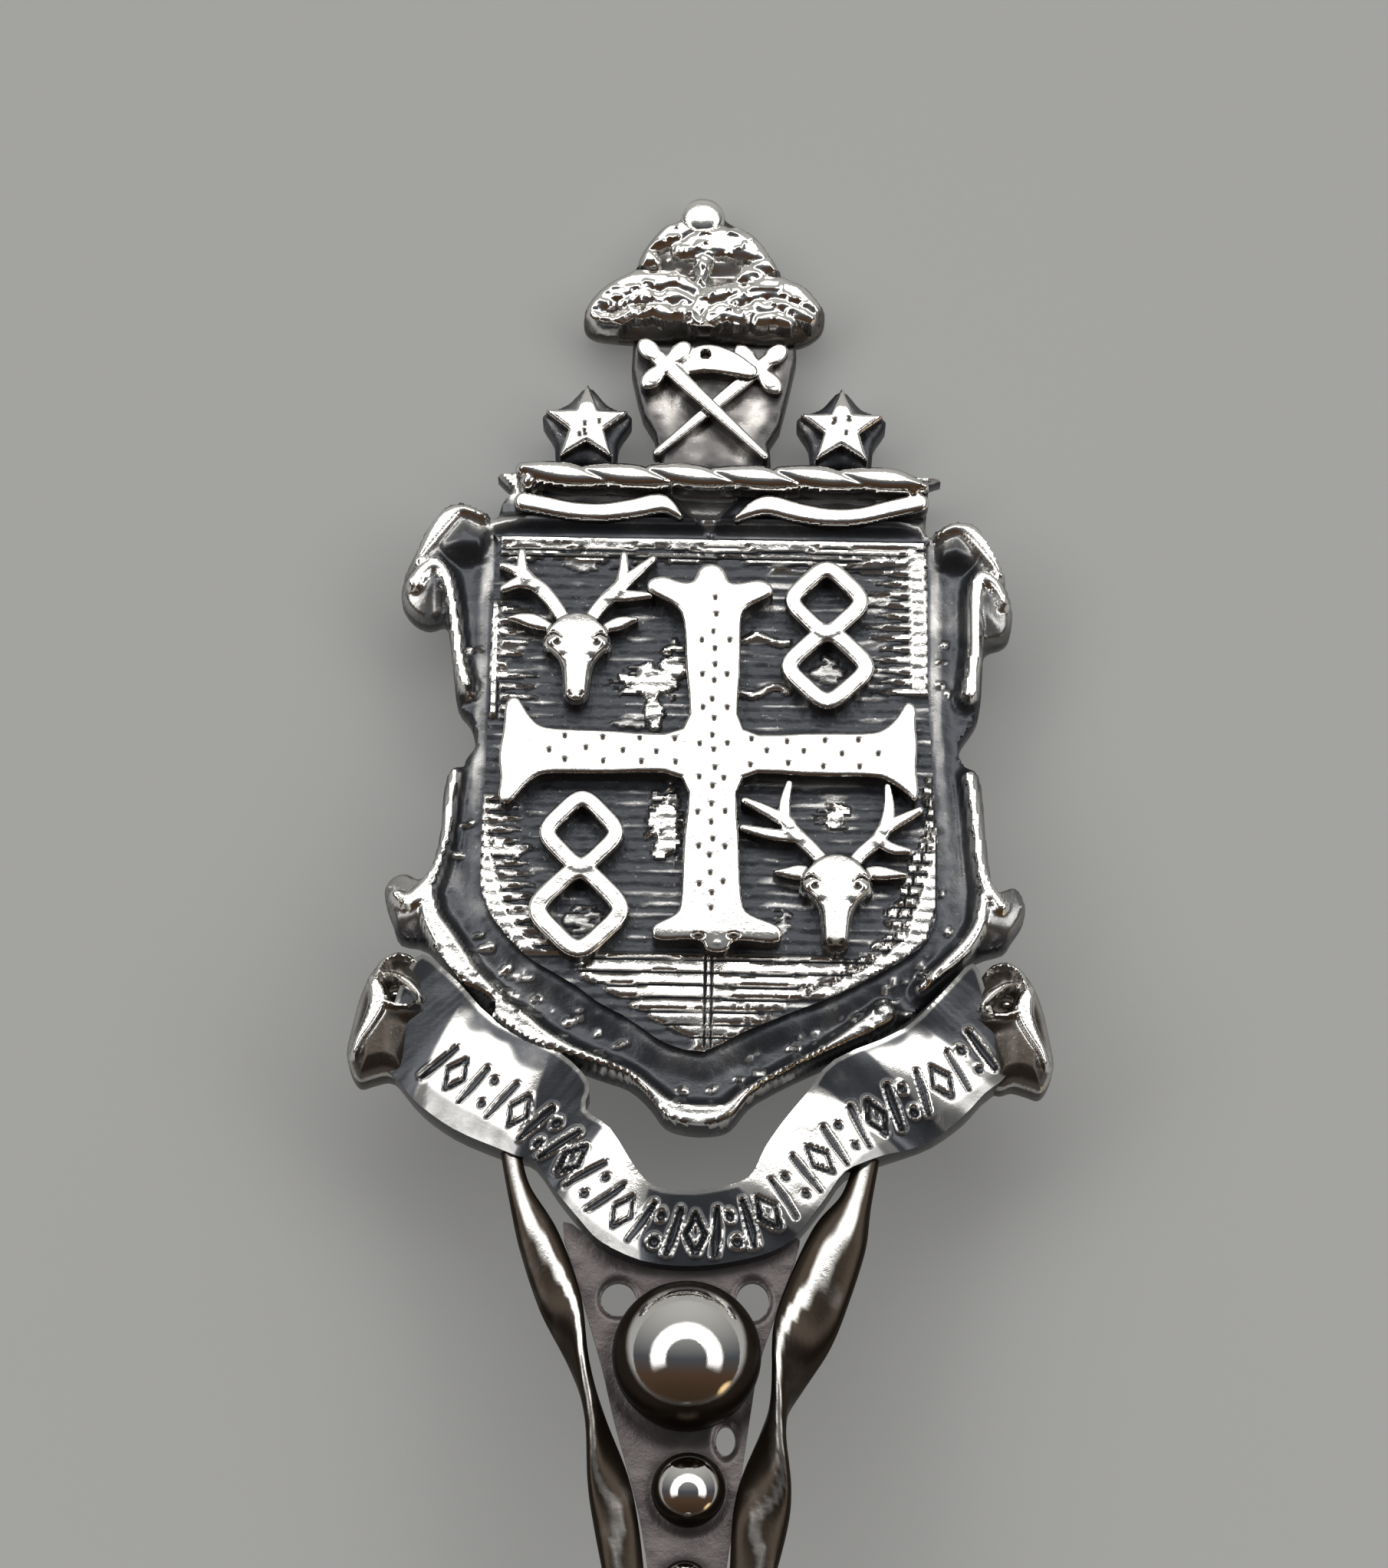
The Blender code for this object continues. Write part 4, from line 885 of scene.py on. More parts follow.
def lozenge_shape(links):
    """Open lozenges of round wire, one under the other: centre, half width, half height and wire."""

    def shape(u, v):
        features = []
        for cu, cv, a, b, wire in links:
            corners = ((-1, 0), (-0.58, -0.58), (0, -1), (0.58, -0.58), (1, 0), (0.58, 0.58), (0, 1),
                       (-0.58, 0.58))
            loop = [(cu + i * a, cv + j * b) for i, j in corners]
            gap = np.abs(polygon(u, v, smooth(loop, 5))) - wire
            features.append((gap, rounded_top(gap, LINK_TOP, 0.09, 0.1)))
        distance, height = merge(features, 0.03)
        height = height + 0.006 * noise(u, v, 0.3, 71)
        return distance, height, np.zeros(u.shape)

    return shape


# Centre, half width, half height and half the wire of each lozenge.
UPPER_LINKS = ((3.07, 4.23, 0.87, 0.86, 0.22), (3.11, 2.42, 0.98, 0.93, 0.23))
LOWER_LINKS = ((-3.12, -2.15, 0.87, 0.9, 0.22), (-3.14, -4.2, 1.05, 1.05, 0.24))
CHARGE_BASE = 1.1


def make_charges():
    polished("flared_cross", (-5.6, -5.6, 5.8, 5.5), 0.026, cross_shape, CHARGE_BASE, "cross")
    upper = stag_shape(-3.36, 2.93, 1.0, UPPER_EARS, UPPER_ANTLERS, False)
    polished("stag_upper", (-5.7, 0.7, -1.1, 5.7), 0.035, upper, CHARGE_BASE, "stag_head_upper")
    lower = stag_shape(3.39, -3.52, 1.06, LOWER_EARS, LOWER_ANTLERS, True)
    polished("stag_lower", (0.7, -6.0, 5.9, -0.4), 0.035, lower, CHARGE_BASE, "stag_head_lower")
    polished("links_upper", (1.7, 1.0, 4.5, 5.6), 0.03, lozenge_shape(UPPER_LINKS), CHARGE_BASE,
             "lozenges_upper")
    polished("links_lower", (-4.7, -5.8, -1.6, -0.7), 0.03, lozenge_shape(LOWER_LINKS), CHARGE_BASE,
             "lozenges_lower")


# --- torse, stars, crest and tree ---------------------------------------------------------------------

TORSE_LEFT = -4.72
TORSE_RIGHT = 5.34
TORSE_V = 7.68
STRANDS = 6


def torse_shape(u, v):
    """A twisted rope: long slanted lobes that overlap, with a groove between each and the next."""
    pitch = (TORSE_RIGHT - TORSE_LEFT) / STRANDS
    features = []
    for index in range(STRANDS):
        middle = TORSE_LEFT + (index + 0.5) * pitch
        rise = 0.04 * (1 - index % 2)
        line = ((middle - 0.6 * pitch, TORSE_V + rise + 0.1, 0.2),
                (middle - 0.25 * pitch, TORSE_V + rise + 0.03, 0.32),
                (middle + 0.2 * pitch, TORSE_V - 0.02, 0.33), (middle + 0.66 * pitch, TORSE_V - 0.2, 0.12))
        gap = strand(u, v, line, 5)
        features.append((gap, rounded_top(gap, 1.8, 0.26, 0.32)))
    distance, height = merge(features, 0.02)
    left_end = strand(u, v, ((-4.75, 7.5, 0.2), (-4.6, 7.75, 0.25)))
    right_end = strand(u, v, ((5.3, 7.45, 0.2), (5.2, 7.6, 0.25)))
    ends = np.minimum(left_end, right_end)
    distance, height = merge([(distance, height), (ends, rounded_top(ends, 1.72, 0.2, 0.25))], 0.02)
    return distance, height, 0.9 * cavity(height, 4, 0.1)


def band_shape(line):
    """A smooth raised band along a line."""

    def shape(u, v):
        gap = strand(u, v, line, 6)
        return gap, rounded_top(gap, 1.55, 0.12, 0.16), np.zeros(u.shape)

    return shape


LEFT_BAND = (
    (-4.85, 6.98, 0.26), (-4.3, 6.88, 0.26), (-3.6, 6.75, 0.25), (-2.8, 6.72, 0.25), (-2.0, 6.84, 0.27),
    (-1.4, 6.98, 0.28), (-1.1, 6.92, 0.22), (-0.78, 6.64, 0.1),
)
RIGHT_BAND = (
    (5.45, 7.12, 0.26), (4.7, 6.93, 0.25), (3.9, 6.72, 0.24), (3.1, 6.68, 0.25), (2.3, 6.8, 0.27),
    (1.6, 6.98, 0.28), (1.2, 6.9, 0.23), (0.72, 6.6, 0.1),
)


def make_torse():
    polished("torse", (-5.1, 7.0, 5.7, 8.3), 0.04, torse_shape, 1.0, "torse_rope")
    for side, line in (("left", LEFT_BAND), ("right", RIGHT_BAND)):
        low = min(point[0] for point in line) - 0.3
        high = max(point[0] for point in line) + 0.3
        polished("band_" + side, (low, 6.2, high, 7.5), 0.035, band_shape(line), 0.9, "torse_band_" + side)


def star_outline(u, v, tip, notch):
    """Ten corners of a five-pointed star from its tips' and notches' radii."""
    outline = []
    for index in range(10):
        radius = notch if index % 2 else tip
        angle = math.radians(90 + 36 * index)
        outline.append((u + radius * math.cos(angle), v + radius * math.sin(angle)))
    return outline


def star_shape(cu, cv, seed):
    """A flat star with a few pits, its upper tip bent back."""

    def shape(u, v):
        distance = polygon(u, v, star_outline(cu, cv, 1.1, 0.46)) - 0.03
        height = rounded_top(distance, 1.44, 0.1) - 0.1 * ramp(v - cv, 0.5, 1.0)
        random = np.random.default_rng(seed)
        pits = [(cu + random.uniform(-0.4, 0.4), cv + random.uniform(-0.35, 0.3)) for _ in range(5)]
        height, tarnish_and_painted_light = punch(u, v, height, np.zeros(u.shape), pits, 0.055, 0.03)
        return distance, height, tarnish_and_painted_light

    return shape


def pad_shape(cu, cv, seed):
    """The dark mount behind a star."""

    def shape(u, v):
        distance = polygon(u, v, smooth(star_outline(cu, cv, 1.24, 0.9), 4))
        height = rounded_top(distance, 0.98, 0.25, 0.2) + 0.03 * noise(u, v, 0.3, seed)
        return distance, height, 0.8 + 0.2 * noise(u, v, 0.5, seed + 1)

    return shape


def make_stars():
    for side, u, v, seed in (("left", -3.27, 9.2, 81), ("right", 3.42, 9.2, 84)):
        box = (u - 1.4, v - 1.35, u + 1.4, v + 1.4)
        relief("star_mount_" + side, box, 0.05, pad_shape(u, v, seed), 0.2, FIELD,
               ("star_pad_" + side,))
        polished("star_face_" + side, box, 0.035, star_shape(u, v, seed), 0.75, "star_" + side)


BLOCK_EDGE = (
    (-2.1, 11.7), (-2.13, 11.0), (-1.95, 10.2), (-1.8, 9.7), (-1.5, 9.2), (-1.35, 8.6), (-1.35, 8.1),
    (1.6, 8.1), (1.55, 8.7), (1.5, 8.95), (1.8, 9.45), (1.94, 10.05), (2.09, 10.75), (2.22, 11.4),
    (2.2, 11.7),
)


def block_shape(u, v):
    """The toned block behind the staves, darker at its sides, with a shallow dip between the staves."""
    distance = polygon(u, v, BLOCK_EDGE)
    height = rounded_top(distance, 0.88, 0.12) + 0.03 * noise(u, v, 0.35, 91)
    share = ellipse(u, v, 0.05, 9.9, 1.3, 0.9)[1]
    height = height - 0.08 * (1 - ramp(share, 0.3, 1.1))
    tarnish_and_painted_light = 0.66 + 0.3 * ramp(distance, -0.5, -0.1) + 0.2 * noise(u, v, 0.4, 92)
    return distance, height, np.clip(tarnish_and_painted_light, 0, 1)


def trefoil_stave(u, v, foot, head, half_foot, half_head, top):
    """A tapered stave whose head is three leaves around its end."""
    foot, head = np.array(foot), np.array(head)
    along = (head - foot) / np.linalg.norm(head - foot)
    across = np.array((-along[1], along[0]))
    neck = head - along * 0.62
    bar = strand(u, v, ((*foot, half_foot), (*neck, half_head), (*head, 0.1)))
    shapes = [bar]
    for center, out in ((head, along), (neck + across * 0.5, across), (neck - across * 0.5, across)):
        turn = math.degrees(math.atan2(out[1], out[0]))
        shapes.append(ellipse(u, v, center[0], center[1], 0.38, 0.25, turn)[0])
    shapes.append(strand(u, v, ((*(neck - across * 0.5), 0.2), (*(neck + across * 0.5), 0.2))))
    return merge([(gap, rounded_top(gap, top, 0.07)) for gap in shapes], 0.02)


def under_stave_shape(u, v):
    """The lower stave."""
    distance, height = trefoil_stave(u, v, (-1.42, 8.5), (1.66, 11.32), 0.1, 0.2, 1.24)
    return distance, height, np.zeros(u.shape)


def over_stave_shape(u, v):
    """The upper stave, and the pierced arch that joins the two heads."""
    distance, height = trefoil_stave(u, v, (1.42, 8.35), (-1.66, 11.3), 0.1, 0.21, 1.5)
    line = ((-1.0, 10.75, 0.22), (-0.5, 11.0, 0.34), (-0.1, 11.1, 0.4), (0.45, 10.98, 0.34),
            (1.0, 10.75, 0.2))
    arch = strand(u, v, line)
    distance, height = merge([(distance, height), (arch, rounded_top(arch, 1.45, 0.08))], 0.03)
    hole = ellipse(u, v, -0.18, 11.2, 0.12, 0.12)[0]
    height, tarnish_and_painted_light = engrave(height, np.zeros(u.shape), hole, 0.3, 0.03)
    return distance, height, tarnish_and_painted_light


TREE_EDGE = (
    (-0.37, 15.42), (-0.72, 15.22), (-0.95, 14.86), (-1.35, 14.7), (-1.72, 14.3), (-1.97, 13.9),
    (-2.1, 13.55), (-2.65, 13.25), (-3.05, 12.95), (-3.35, 12.55), (-3.42, 12.2), (-3.2, 11.95),
    (-2.7, 11.85), (-1.5, 11.8), (-0.5, 11.85), (0.5, 11.8), (1.6, 11.72), (2.3, 11.8), (2.7, 12.0),
    (2.93, 12.3), (2.9, 12.75), (2.4, 13.2), (1.8, 13.5), (1.5, 14.05), (1.05, 14.5), (0.6, 14.85),
    (0.32, 15.02), (0.05, 15.3),
)
TREE_FOOT = 11.8
TREE_STRETCH = 1.08  # the crown is this much taller than its points are
LEAF_RIDGES = (
    ((-1.62, 14.15, 0.18), (-1.15, 14.38, 0.26), (-0.8, 14.55, 0.24), (-0.4, 14.68, 0.15)),
    ((-0.9, 13.98, 0.18), (-0.35, 14.15, 0.3), (0.3, 14.2, 0.34), (0.9, 14.05, 0.26), (1.25, 13.82, 0.14)),
    ((-0.25, 13.72, 0.16), (-0.3, 13.45, 0.12), (-0.33, 13.15, 0.06)),
    ((-1.95, 13.72, 0.1), (-1.75, 13.75, 0.16), (-1.6, 13.7, 0.1)),
    ((1.1, 13.55, 0.1), (1.35, 13.6, 0.16), (1.55, 13.55, 0.1)),
    ((0.75, 13.3, 0.1), (0.95, 13.38, 0.15), (1.15, 13.35, 0.08)),
    ((-3.15, 12.42, 0.14), (-2.7, 12.75, 0.22), (-2.1, 13.08, 0.26), (-1.5, 13.12, 0.2),
     (-0.95, 13.14, 0.16), (-0.5, 12.95, 0.12)),
    ((-3.2, 12.25, 0.1), (-2.85, 12.05, 0.13), (-2.5, 12.1, 0.13), (-2.15, 12.3, 0.1)),
    ((-2.35, 12.55, 0.1), (-1.85, 12.75, 0.16), (-1.4, 12.62, 0.14), (-1.0, 12.78, 0.15),
     (-0.6, 12.6, 0.1)),
    ((-1.9, 12.25, 0.08), (-1.5, 12.38, 0.14), (-1.1, 12.25, 0.12), (-0.8, 12.35, 0.12),
     (-0.5, 12.1, 0.1)),
    ((-0.55, 12.35, 0.1), (-0.2, 12.7, 0.15), (0.3, 12.85, 0.16), (0.75, 12.88, 0.12)),
    ((0.55, 12.65, 0.14), (1.0, 12.85, 0.2), (1.5, 13.0, 0.24), (2.1, 12.85, 0.22), (2.65, 12.5, 0.12)),
    ((-0.2, 11.95, 0.12), (0.05, 12.25, 0.2), (0.35, 12.35, 0.17), (0.7, 12.2, 0.12), (1.0, 12.35, 0.12)),
    ((1.1, 12.55, 0.1), (1.45, 12.45, 0.13), (1.8, 12.55, 0.13), (2.3, 12.35, 0.1), (2.6, 12.2, 0.07)),
    ((1.2, 12.15, 0.08), (1.6, 12.2, 0.12), (2.0, 12.08, 0.08)),
)
LEAF_TOP = 1.6


def tree_shape(u, v):
    """The crown of the tree: two tiers of leaf ridges over a dark mass, and a bead on top."""
    v = TREE_FOOT + (v - TREE_FOOT) / TREE_STRETCH
    distance = polygon(u, v, smooth(TREE_EDGE, 3))
    body = 0.72 + 0.42 * np.sqrt(np.clip(-distance / 0.45, 0, 1))
    tiers = np.minimum(ellipse(u, v, -0.3, 14.1, 1.7, 0.7)[1], ellipse(u, v, -0.25, 12.6, 3.1, 0.75)[1])
    height = body + 0.16 * (1 - ramp(tiers, 0.6, 1.1)) + 0.012 * noise(u, v, 0.3, 101)
    shine = np.zeros(u.shape)
    for line in LEAF_RIDGES:
        gap = strand(u, v, line, 4) - 0.04 + 0.04 * noise(u, v, 0.2, 102)
        ridge = LEAF_TOP - 0.7 * np.clip(gap + 0.12, 0, 1)
        height = blend_max(height, np.where(gap < 0.06, ridge, 0.0), 0.05)
        shine = np.maximum(shine, ramp(-gap, -0.05, 0.04))
    beads = ramp(noise(u, v * 1.5, 0.2, 103), 0.3, 0.7) * (1 - ramp(tiers, 0.8, 1.0))
    height = height + 0.05 * beads
    shine = np.maximum(shine, 0.8 * beads)
    height = np.minimum(height, 0.95 + 1.5 * np.sqrt(np.clip(-distance, 0, 1)))
    share = ellipse(u, v, -0.33, 14.93, 0.6, 0.5)[1]
    height = np.where(share < 1, dome(share, 1.15, 1.5, 3.0), height)
    shine = np.where(share < 1, 1.0, shine)
    brim = ramp(-distance, 0.32, 0.1)
    return distance, height, (0.45 + 0.3 * brim) * (1 - shine)


def make_crest():
    relief("crest_mount", (-2.4, 7.9, 2.5, 11.9), 0.05, block_shape, 0.05, CREST,
           ("crest_block",))
    polished("stave_under", (-1.8, 8.1, 2.4, 12.0), 0.025, under_stave_shape, 0.7, "staff_under")
    polished("stave_over", (-2.4, 8.0, 1.8, 12.0), 0.025, over_stave_shape, 0.7, "staff_over")
    polished("tree_crown", (-3.7, 11.5, 3.2, 16.0), 0.04, tree_shape, 0.4, "crest_tree")


# --- ribbon -------------------------------------------------------------------------------------------

RIBBON_EDGE = (
    (-7.85, -8.3), (-7.95, -7.3), (-7.8, -6.6), (-7.55, -5.9), (-7.1, -5.3), (-6.2, -6.0), (-5.2, -7.0),
    (-3.6, -7.8), (-2.8, -8.6), (-2.87, -9.27), (-2.24, -9.76), (-1.6, -10.74), (-1.11, -11.23),
    (-0.36, -11.35), (0.46, -11.26), (1.28, -10.97), (1.68, -10.19), (2.15, -9.47), (2.78, -8.68),
    (3.4, -7.9), (5.2, -7.0), (6.2, -6.0), (6.9, -5.3), (7.25, -6.1), (7.5, -6.8), (7.75, -7.45),
    (7.75, -8.2), (7.19, -8.72), (6.67, -9.3), (5.88, -9.89), (5.01, -10.24), (4.4, -10.46),
    (3.69, -10.8), (3.2, -11.5), (2.61, -12.28), (2.13, -12.7), (1.31, -13.01), (-0.04, -13.23),
    (-1.42, -13.12), (-2.39, -12.72), (-2.94, -12.16), (-3.51, -11.47), (-4.1, -10.65), (-4.6, -10.48),
    (-5.13, -10.32), (-6.17, -9.88), (-7.02, -9.28), (-7.65, -8.55),
)
RIBBON_LINE = (
    (-7.85, -6.6), (-7.0, -7.6), (-6.0, -8.4), (-4.9, -9.0), (-3.8, -9.75), (-2.9, -10.7), (-2.1, -11.6),
    (-1.1, -12.15), (0.0, -12.3), (1.1, -12.1), (2.0, -11.5), (2.8, -10.6), (3.8, -9.65), (4.9, -8.95),
    (6.0, -8.35), (7.0, -7.5), (7.75, -6.6),
)


def along_line(u, v, points):
    """How far along the line each point is, how far to its left, V of the line there, and the length."""
    line = smooth(points, 6, closed=False)
    best = np.full(u.shape, 1e9)
    far = np.zeros(u.shape)
    side = np.zeros(u.shape)
    foot = np.zeros(u.shape)
    run = 0.0
    for (au, av), (bu, bv) in zip(line, line[1:]):
        du, dv = bu - au, bv - av
        length = math.hypot(du, dv)
        along = np.clip(((u - au) * du + (v - av) * dv) / length ** 2, 0, 1)
        gap = np.hypot(u - au - along * du, v - av - along * dv)
        closer = gap < best
        best = np.where(closer, gap, best)
        far = np.where(closer, run + along * length, far)
        turned = (du * (v - av) - dv * (u - au)) / length
        side = np.where(closer, np.sign(turned) * gap, side)
        foot = np.where(closer, av + along * dv, foot)
        run += length
    return far, side, foot, run


# The ribbon's waves: how far along it, and how it lies: 1 is tipped to the light and -1 away.
RIBBON_WAVES = (
    (0.0, -1.0), (1.5, -0.8), (2.0, 1.0), (4.2, 1.0), (4.8, -1.0), (6.1, -1.0), (6.7, 1.0), (8.0, 1.0),
    (8.8, -1.0), (11.4, -1.0), (12.1, 1.0), (14.8, 1.0), (15.3, -1.0), (16.2, -1.0), (16.8, 1.0),
    (17.9, 1.0), (18.4, -1.0), (19.7, -1.0),
)
# The ornament: its motifs in turn, each with the length that it takes up.
MOTIFS = (("stroke", 0.42), ("lozenge", 0.62), ("stroke", 0.42), ("dots", 0.4))
ORNAMENT_START = 1.75
ORNAMENT_END = 1.1
ORNAMENT_SIDE = -0.12


def motif_shape(along, side, kind, place):
    """Signed distance of one motif at this place along the ribbon."""
    middle = ORNAMENT_SIDE
    if kind == "stroke":
        line = ((place - 0.1, middle - 0.56, 0.06), (place, middle, 0.09),
                (place + 0.1, middle + 0.56, 0.07))
        return strand(along, side, line, 2)
    if kind == "lozenge":
        outline = ((place - 0.24, middle), (place, middle - 0.48), (place + 0.24, middle),
                   (place, middle + 0.48))
        return np.abs(polygon(along, side, outline)) - 0.06
    upper = ellipse(along, side, place, middle + 0.34, 0.1, 0.13)[0]
    lower = ellipse(along, side, place, middle - 0.34, 0.1, 0.13)[0]
    return np.minimum(upper, lower)


def ribbon_ornament(along, side, length):
    """Signed distance of the ornament: slanted strokes, lozenges and pairs of dots in turn."""
    best = np.full(along.shape, 9.0)
    place = ORNAMENT_START
    count = 0
    while place < length - ORNAMENT_END:
        kind, spacing = MOTIFS[count % len(MOTIFS)]
        place += spacing / 2
        best = np.minimum(best, motif_shape(along, side, kind, place))
        place += spacing / 2
        count += 1
    return best


def ribbon_shape(u, v):
    """The ribbon: it waves towards and away from the light, and bears an ornament. Painted shade darkens it
    where it turns away from the light, along its lower side and next to the cartouche, and a painted
    highlight brightens its upper edge.
    """
    distance = polygon(u, v, smooth(RIBBON_EDGE, 3))
    along, side, foot, length = along_line(u, v, RIBBON_LINE)
    stops = np.array(RIBBON_WAVES)
    wave = np.interp(along + 0.3 * side, stops[:, 0] * length / stops[-1, 0], stops[:, 1])
    wave = blurred(wave, 6)
    height = 1.14 + 0.07 * wave + (0.04 - 0.09 * wave) * (v - foot)
    height = height + 0.008 * noise(u, v, 0.5, 111)
    ornament = ribbon_ornament(along, side, length)
    fade = ramp(-distance, 0.05, 0.15)
    cut = (1 - ramp(ornament, -0.04, 0.02)) * fade
    rim = np.exp(-((ornament - 0.045) / 0.035) ** 2) * fade
    # Painted shade where the ribbon turns away from the light; the ornament's rims stay bright in it.
    hollow = ramp(-wave, -0.25, 0.45)
    height = height - 0.11 * cut + 0.06 * rim * hollow
    height = np.minimum(height, rounded_top(distance, 1.5, 0.12))
    # Painted shade along the ribbon's lower side.
    outer = ramp(-side, 0.55, 0.85)
    # Painted shadow of the cartouche on the ribbon next to it.
    near_plate = 0.95 - polygon(u, v, PLATE_EDGE) + 0.3 * noise(u, v, 0.45, 113)
    shaded = ramp(near_plate, 0.0, 0.6) * (v > -9.6)
    tarnish_and_painted_light = 0.88 * hollow + 0.1 * noise(u, v, 0.6, 112) * hollow
    tarnish_and_painted_light = np.maximum(tarnish_and_painted_light, cut * 0.95) * (1 - 0.9 * rim * hollow)
    tarnish_and_painted_light = np.maximum(tarnish_and_painted_light, np.maximum(0.6 * outer, 0.8 * shaded))
    # Painted highlight along the ribbon's upper edge.
    lip = ramp(-distance, 0.14, 0.05)
    return distance, height, np.clip(tarnish_and_painted_light * (1 - 0.85 * lip * (side > 0)), 0, 1)


# The rolled ends, first point at the cartouche: outline, ridge lines and eye are given for the left one.
LEFT_CURL_EDGE = (
    (-7.55, -5.2), (-8.12, -5.4), (-8.46, -5.83), (-8.69, -6.44), (-8.85, -7.17), (-8.96, -7.84),
    (-8.83, -8.34), (-8.61, -8.6), (-8.3, -8.52), (-7.92, -8.42), (-7.6, -8.5), (-7.3, -8.3),
    (-7.0, -7.4), (-6.9, -6.6), (-7.0, -5.8),
)
LEFT_CURL_RIDGES = (
    ((-8.2, -5.85, 0.1), (-8.05, -5.5, 0.09), (-7.75, -5.36, 0.08), (-7.2, -5.48, 0.06)),
    ((-8.05, -5.85, 0.06), (-7.75, -5.92, 0.09), (-7.4, -6.15, 0.12), (-7.12, -6.45, 0.1)),
    ((-8.36, -5.98, 0.1), (-8.22, -6.3, 0.2), (-8.2, -6.7, 0.22), (-8.4, -7.2, 0.17), (-8.62, -7.6, 0.13),
     (-8.74, -7.95, 0.1)),
    ((-8.1, -6.6, 0.12), (-7.7, -6.72, 0.1), (-7.15, -6.7, 0.06)),
)


def curl_shape(mirror):
    """A rolled ribbon end, tapering, with an open eye at its top; mirror is -1 for the right one."""

    def shape(u, v):
        a = u * mirror
        distance = polygon(a, v, smooth(LEFT_CURL_EDGE, 3))
        height = 0.85 + 0.45 * np.sqrt(np.clip(-distance / 0.5, 0, 1))
        height = height - 0.3 * ramp(a, -8.1, -7.2) * ramp(-v, 6.7, 7.2)
        ridges = strands(a, v, LEFT_CURL_RIDGES, 5)
        share = ellipse(a, v, -7.68, -6.3, 0.45, 0.3, -30)[1]
        height = height - 0.4 * (1 - ramp(share, 0.6, 1.2))
        ridge = 1.5 - 0.25 * ramp(ridges, -0.08, 0.02)
        height = blend_max(height, np.where(ridges < 0.02, ridge, 0.0), 0.04)
        pupil = ellipse(a, v, -7.77, -6.32, 0.15, 0.06)[0]
        height = height + 0.2 * ramp(-pupil, -0.02, 0.04)
        height = np.minimum(height, rounded_top(distance, 1.5, 0.3, 0.6))
        shine = np.maximum(ramp(-ridges, -0.08, 0.04), ramp(-pupil, 0.0, 0.04))
        edge = 0.35 * ramp(-distance, 0.25, 0.08)
        return distance, height, np.clip(0.85 - 0.85 * shine - edge, 0, 1)

    return shape


def make_ribbon():
    relief("ribbon", (-8.2, -13.5, 8.0, -5.0), 0.045, ribbon_shape, 0.1, RIBBON,
           ("motto_ribbon",))
    polished("curl_left", (-9.2, -8.9, -6.6, -4.9), 0.04, curl_shape(1), 0.1, "ribbon_curl_left")
    polished("curl_right", (6.6, -8.9, 9.2, -4.9), 0.04, curl_shape(-1), 0.1, "ribbon_curl_right")


# --- V stem -------------------------------------------------------------------------------------------

RAIL_W = 0.75
# Each rail is a flat bar that twists over as it runs down: U, V, width and twist in degrees.
LEFT_RAIL = (
    (-4.75, -10.3, 0.5, 0), (-4.5, -11.3, 0.6, 0), (-4.0, -12.5, 1.05, 0), (-3.45, -14.0, 1.15, 15),
    (-2.92, -15.6, 0.95, 70), (-2.45, -17.1, 0.85, 110), (-1.98, -19.2, 1.1, 180),
    (-1.62, -21.2, 1.0, 180), (-1.25, -23.6, 0.75, 270), (-0.98, -26.6, 0.85, 350),
    (-0.78, -29.5, 0.65, 360), (-0.7, -30.85, 0.6, 360),
)
RIGHT_RAIL = (
    (4.3, -10.2, 0.6, 0), (4.0, -11.4, 0.8, 0), (3.55, -12.5, 1.45, 0), (2.85, -14.4, 1.65, -10),
    (2.35, -16.0, 1.45, -60), (1.98, -17.4, 1.2, -110), (1.72, -19.4, 1.4, -180),
    (1.48, -21.2, 1.1, -180), (1.2, -23.6, 0.8, -270), (0.98, -26.6, 0.85, -350),
    (0.78, -29.5, 0.65, -360), (0.7, -30.85, 0.6, -360),
)
RAIL_THICKNESS = 0.46
RAIL_SIDES = 28


def swept_rail(rail):
    """Rings of points along a rail, with a rounded flat section that twists with it."""
    line = smooth(rail, 14, closed=False)
    rings = []
    for place, (u, v, width, twist) in enumerate(line):
        ahead = heading(line, place)
        run = np.array((ahead[0], ahead[1], 0.0)) / math.hypot(ahead[0], ahead[1])
        across = np.array((-run[1], run[0], 0.0))
        turn = math.radians(twist)
        wide = across * math.cos(turn) + np.array((0, 0, 1.0)) * math.sin(turn)
        thick = np.cross(run, wide)
        ring = []
        for side in range(RAIL_SIDES):
            angle = 2 * math.pi * side / RAIL_SIDES
            reach = width / 2 * squared(math.cos(angle), 0.8)
            lift = RAIL_THICKNESS / 2 * (0.6 + 0.4 * width) * squared(math.sin(angle), 0.9)
            ring.append(np.array((u, v, RAIL_W)) + wide * reach + thick * lift)
        rings.append(np.array(ring))
    return rings


def make_rails():
    """The two rails, with a painted highlight along the ridge that faces up, and toned with faint clouds
    elsewhere.
    """
    for name, rail in (("rail_left", LEFT_RAIL), ("rail_right", RIGHT_RAIL)):
        rings = swept_rail(rail)
        points, faces = loft(rings)
        stacked = np.array(rings)
        lift = (stacked - stacked.mean(1, keepdims=True))[:, :, 2]
        lift = lift / np.maximum(lift.max(1, keepdims=True), 0.05)
        # Painted highlight along the top of the twisting bar, weaker further down.
        ridge = ramp(lift, 0.958, 1.0).reshape(-1) * (0.4 + 0.6 * ramp(points[:, 1], -18.5, -14.0))
        cloudy = 0.16 * noise(points[:, 0], points[:, 1] * 0.5, 0.5, 130) * (ridge < 0.01)
        tarnish_and_painted_light = np.clip(0.92 - 0.72 * ridge + cloudy, 0, 1)
        add_mesh(name + "_bar", plane_to_world(points), [face[::-1] for face in faces], tarnish_and_painted_light, RAILS,
                 (name,), 60.0)


